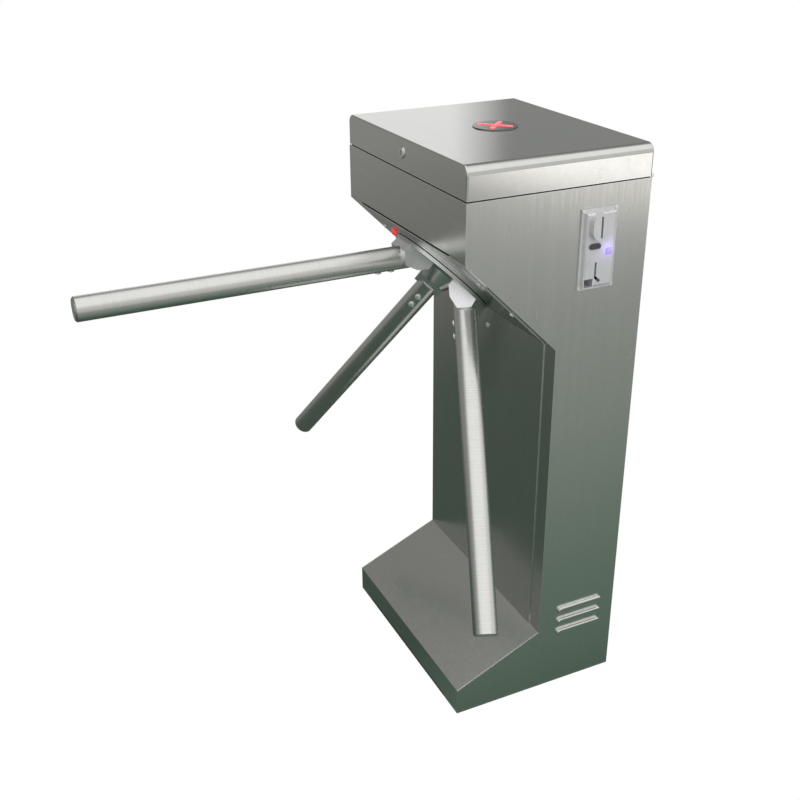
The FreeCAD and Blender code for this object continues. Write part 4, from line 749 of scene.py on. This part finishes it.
# %% The cross: two diagonals, each two lamps thick, inside a circle
LAMP_SPACING, CROSS_ARM, CROSS_RADIUS, LENS_SUNK = 0.00432, 5, 0.03, 0.0003
window_low, window_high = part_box("display_window")
window_middle = (window_low + window_high) / 2
lenses = []
for step in range(-CROSS_ARM, CROSS_ARM + 1):
    for side in (-1, 1):
        for thick in (0, 1):
            spot = (window_middle.x + (step + thick / 2) * LAMP_SPACING,
                    window_middle.y + (side * step + thick / 2) * LAMP_SPACING)
            if (step, side) != (0, 1) and math.dist(spot, window_middle.xy) < CROSS_RADIUS:
                copy = bpy.data.objects.new("lens_copy", first_lens.data.copy())
                bpy.context.scene.collection.objects.link(copy)
                copy.location = (*spot, window_high.z - LENS_SUNK)
                lenses.append(copy)
bpy.data.objects.remove(first_lens)
bpy.ops.object.select_all(action="DESELECT")
for copy in lenses:
    copy.select_set(True)
bpy.context.view_layer.objects.active = lenses[0]
bpy.ops.object.join()
display_cross = bpy.context.object
display_cross.name = "display_cross"
bpy.ops.object.transform_apply(location=True, rotation=True, scale=True)
display_cross.data.materials.clear()
display_cross.data.materials.append(finishes["led_red"])
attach(display_cross, "lid")
print("display_cross:", len(lenses), "lenses")

# %% [markdown]
# ## The studio
#
# A polished metal shows the room more than itself, so the room is designed: a floor that is white to the
# eye but dark and greenish in reflections near the turnstile, growing pale to the right, and a surround
# with a bright wall behind on the left, a dark one beside it, and a soft light overhead. In a plain white
# room the steel would reflect white all over, and its planes would hardly differ. Light Path tells the
# eye's rays from the others, and it stays in the materials themselves.

# %% One shader for the eye, another for every other ray
def by_ray(tree, others, eyes, surface):
    """Shows one shader to the camera's own rays and the other to all the rest."""
    is_eye = tree.nodes.new("ShaderNodeLightPath").outputs["Is Camera Ray"]
    chosen = add(tree, "ShaderNodeMixShader", Fac=is_eye)
    tree.links.new(others.outputs[0], chosen.inputs[1])
    tree.links.new(eyes.outputs[0], chosen.inputs[2])
    tree.links.new(chosen.outputs[0], surface)


print("ray helper ready")

# %% Floor
FLOOR_SIZE, FLOOR_DROP, FLOOR_GLOW = 16, 0.0004, 1.3
bpy.ops.object.select_all(action="DESELECT")
bpy.ops.mesh.primitive_plane_add(size=FLOOR_SIZE, location=(0, 0, -FLOOR_DROP))
floor = bpy.context.object
floor.name = "studio_floor"
bpy.ops.object.transform_apply(location=True, rotation=True, scale=True)
FLOOR_STOPS = [(-4.0, (0.25, 0.245, 0.235)), (-1.7, (0.14, 0.138, 0.13)), (-1.1, (0.07, 0.088, 0.074)),
               (0.0, (0.05, 0.072, 0.056)), (0.3, (0.1, 0.145, 0.115)), (0.5, (0.125, 0.17, 0.135)),
               (1.1, (0.215, 0.245, 0.215)), (2.2, (0.31, 0.315, 0.305)), (4.0, (0.36, 0.355, 0.345))]
FLOOR_REACH, POOL_CORE = 4.0, 0.3
POOLS = [((1.5, -2.3, 0.0), 1.3, rgb(0.9, 0.88, 0.86)), ((3.6, 2.6, 0.0), 1.3, rgb(1.3, 1.25, 1.23))]
floor_look = bpy.data.materials.new("studio_floor")
floor_look.use_nodes = True
tree = floor_look.node_tree
tree.nodes.remove(tree.nodes["Principled BSDF"])
place = tree.nodes.new("ShaderNodeTexCoord").outputs["Object"]
sideways = add(tree, "ShaderNodeSeparateXYZ", Vector=place).outputs["X"]
share = sums(tree, "MULTIPLY_ADD", sideways, 1 / (2 * FLOOR_REACH), 0.5)
tint = colour_ramp(tree, share, [((x / FLOOR_REACH + 1) / 2, colour) for x, colour in FLOOR_STOPS])
for middle, reach, shine in POOLS:
    pool = vectors(tree, "DISTANCE", place, middle)
    tint = blend_colours(tree, spread(tree, pool, POOL_CORE, reach, 1.0, 0.0), tint, shine)
seen = add(tree, "ShaderNodeEmission", Color=rgb(1, 1, 1), Strength=1.0)
thrown = add(tree, "ShaderNodeEmission", Color=tint, Strength=FLOOR_GLOW)
by_ray(tree, thrown, seen, tree.nodes["Material Output"].inputs["Surface"])
floor.data.materials.append(floor_look)
print("floor", round(floor.dimensions.x, 1), "m")

# %% Surround
WALLS = [(-180, (0.3, 0.3, 0.3)), (-120, (0.26, 0.26, 0.25)), (-80, (0.5, 0.5, 0.5)),
         (-30, (0.8, 0.8, 0.8)), (5, (0.66, 0.655, 0.64)), (70, (0.85, 0.84, 0.82)),
         (100, (0.34, 0.34, 0.33)), (149.3, (0.28, 0.285, 0.28)), (151.5, (0.96, 0.96, 0.95)),
         (172, (0.96, 0.96, 0.95)), (180, (0.3, 0.3, 0.3))]
BRIGHTEST = 1.6
CEILING_DARK, CEILING_LIGHT = rgb(0.165, 0.165, 0.16), rgb(0.7, 0.7, 0.69)
WALL_TOP, OVERHEAD, LIT_SIDE = (0.36, 0.5), (0.72, 0.94), (-0.35, 0.1)
world = bpy.data.worlds.new("studio_surround")
bpy.context.scene.world = world
world.use_nodes = True
tree = world.node_tree
tree.nodes.clear()
heading = add(tree, "ShaderNodeSeparateXYZ", Vector=tree.nodes.new("ShaderNodeTexCoord").outputs["Generated"])
turn = sums(tree, "ARCTAN2", heading.outputs["Y"], heading.outputs["X"])
turn = sums(tree, "MULTIPLY_ADD", turn, 1 / (2 * math.pi), 0.5)
walls = colour_ramp(tree, turn, [((angle + 180) / 360, tuple(part / BRIGHTEST for part in colour))
                                 for angle, colour in WALLS])
lit = sums(tree, "MAXIMUM", spread(tree, heading.outputs["Z"], *OVERHEAD),
           spread(tree, heading.outputs["X"], *LIT_SIDE))
ceiling = blend_colours(tree, lit, CEILING_DARK, CEILING_LIGHT)
upward = spread(tree, heading.outputs["Z"], *WALL_TOP)
around = blend_colours(tree, upward, walls, ceiling)
room = add(tree, "ShaderNodeBackground", Color=around, Strength=BRIGHTEST)
backdrop = add(tree, "ShaderNodeBackground", Color=rgb(1, 1, 1), Strength=1.0)
by_ray(tree, room, backdrop, tree.nodes.new("ShaderNodeOutputWorld").inputs["Surface"])
print("surround with", len(WALLS), "stops")

# %% [markdown]
# ## Lamps
#
# Three soft area lights brighten what isn't metal. They are hidden from mirror reflections, because the
# steel already reflects the designed room, and a light's square outline in it would look like a mistake.

# %% Soft lights
HUB_AIM = Vector((0, -0.05, 0.75))
LIGHTS = {"key": ((-0.6, -1.7, 2.3), 1.1, 22.0), "right": ((2.4, 0.9, 1.9), 1.0, 16.0),
          "back": ((-0.8, 2.4, 1.9), 1.4, 22.0)}
for label, (spot, size, power) in LIGHTS.items():
    bpy.ops.object.light_add(type="AREA", location=spot)
    lamp = bpy.context.object
    lamp.name = f"light_{label}"
    lamp.data.size = size
    lamp.data.energy = power
    lamp.visible_glossy = False
    lamp.rotation_euler = (HUB_AIM - Vector(spot)).to_track_quat("-Z", "Y").to_euler()
    print(lamp.name, power, "W")

# %% [markdown]
# The status light throws a violet halo on its plate. Its own glow could do that, but light from so small a
# face needs many samples to come out smooth, so a very weak point lamp just in front of it does that work.

# %% A small violet lamp
HALO_AHEAD, HALO_RADIUS, HALO_POWER, HALO_COLOUR = 0.012, 0.006, 0.012, (0.5, 0.42, 1.0)
status_low, status_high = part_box("coin_status_light")
halo_place = (status_high.x + HALO_AHEAD, status_low.y / 2 + status_high.y / 2, status_high.z)
bpy.ops.object.light_add(type="POINT", location=halo_place)
halo = bpy.context.object
halo.name = "light_halo"
halo.data.color = HALO_COLOUR
halo.data.energy = HALO_POWER
halo.data.shadow_soft_size = HALO_RADIUS
halo.visible_glossy = False
print(halo.name, "at", tuple(round(c, 3) for c in halo.location))
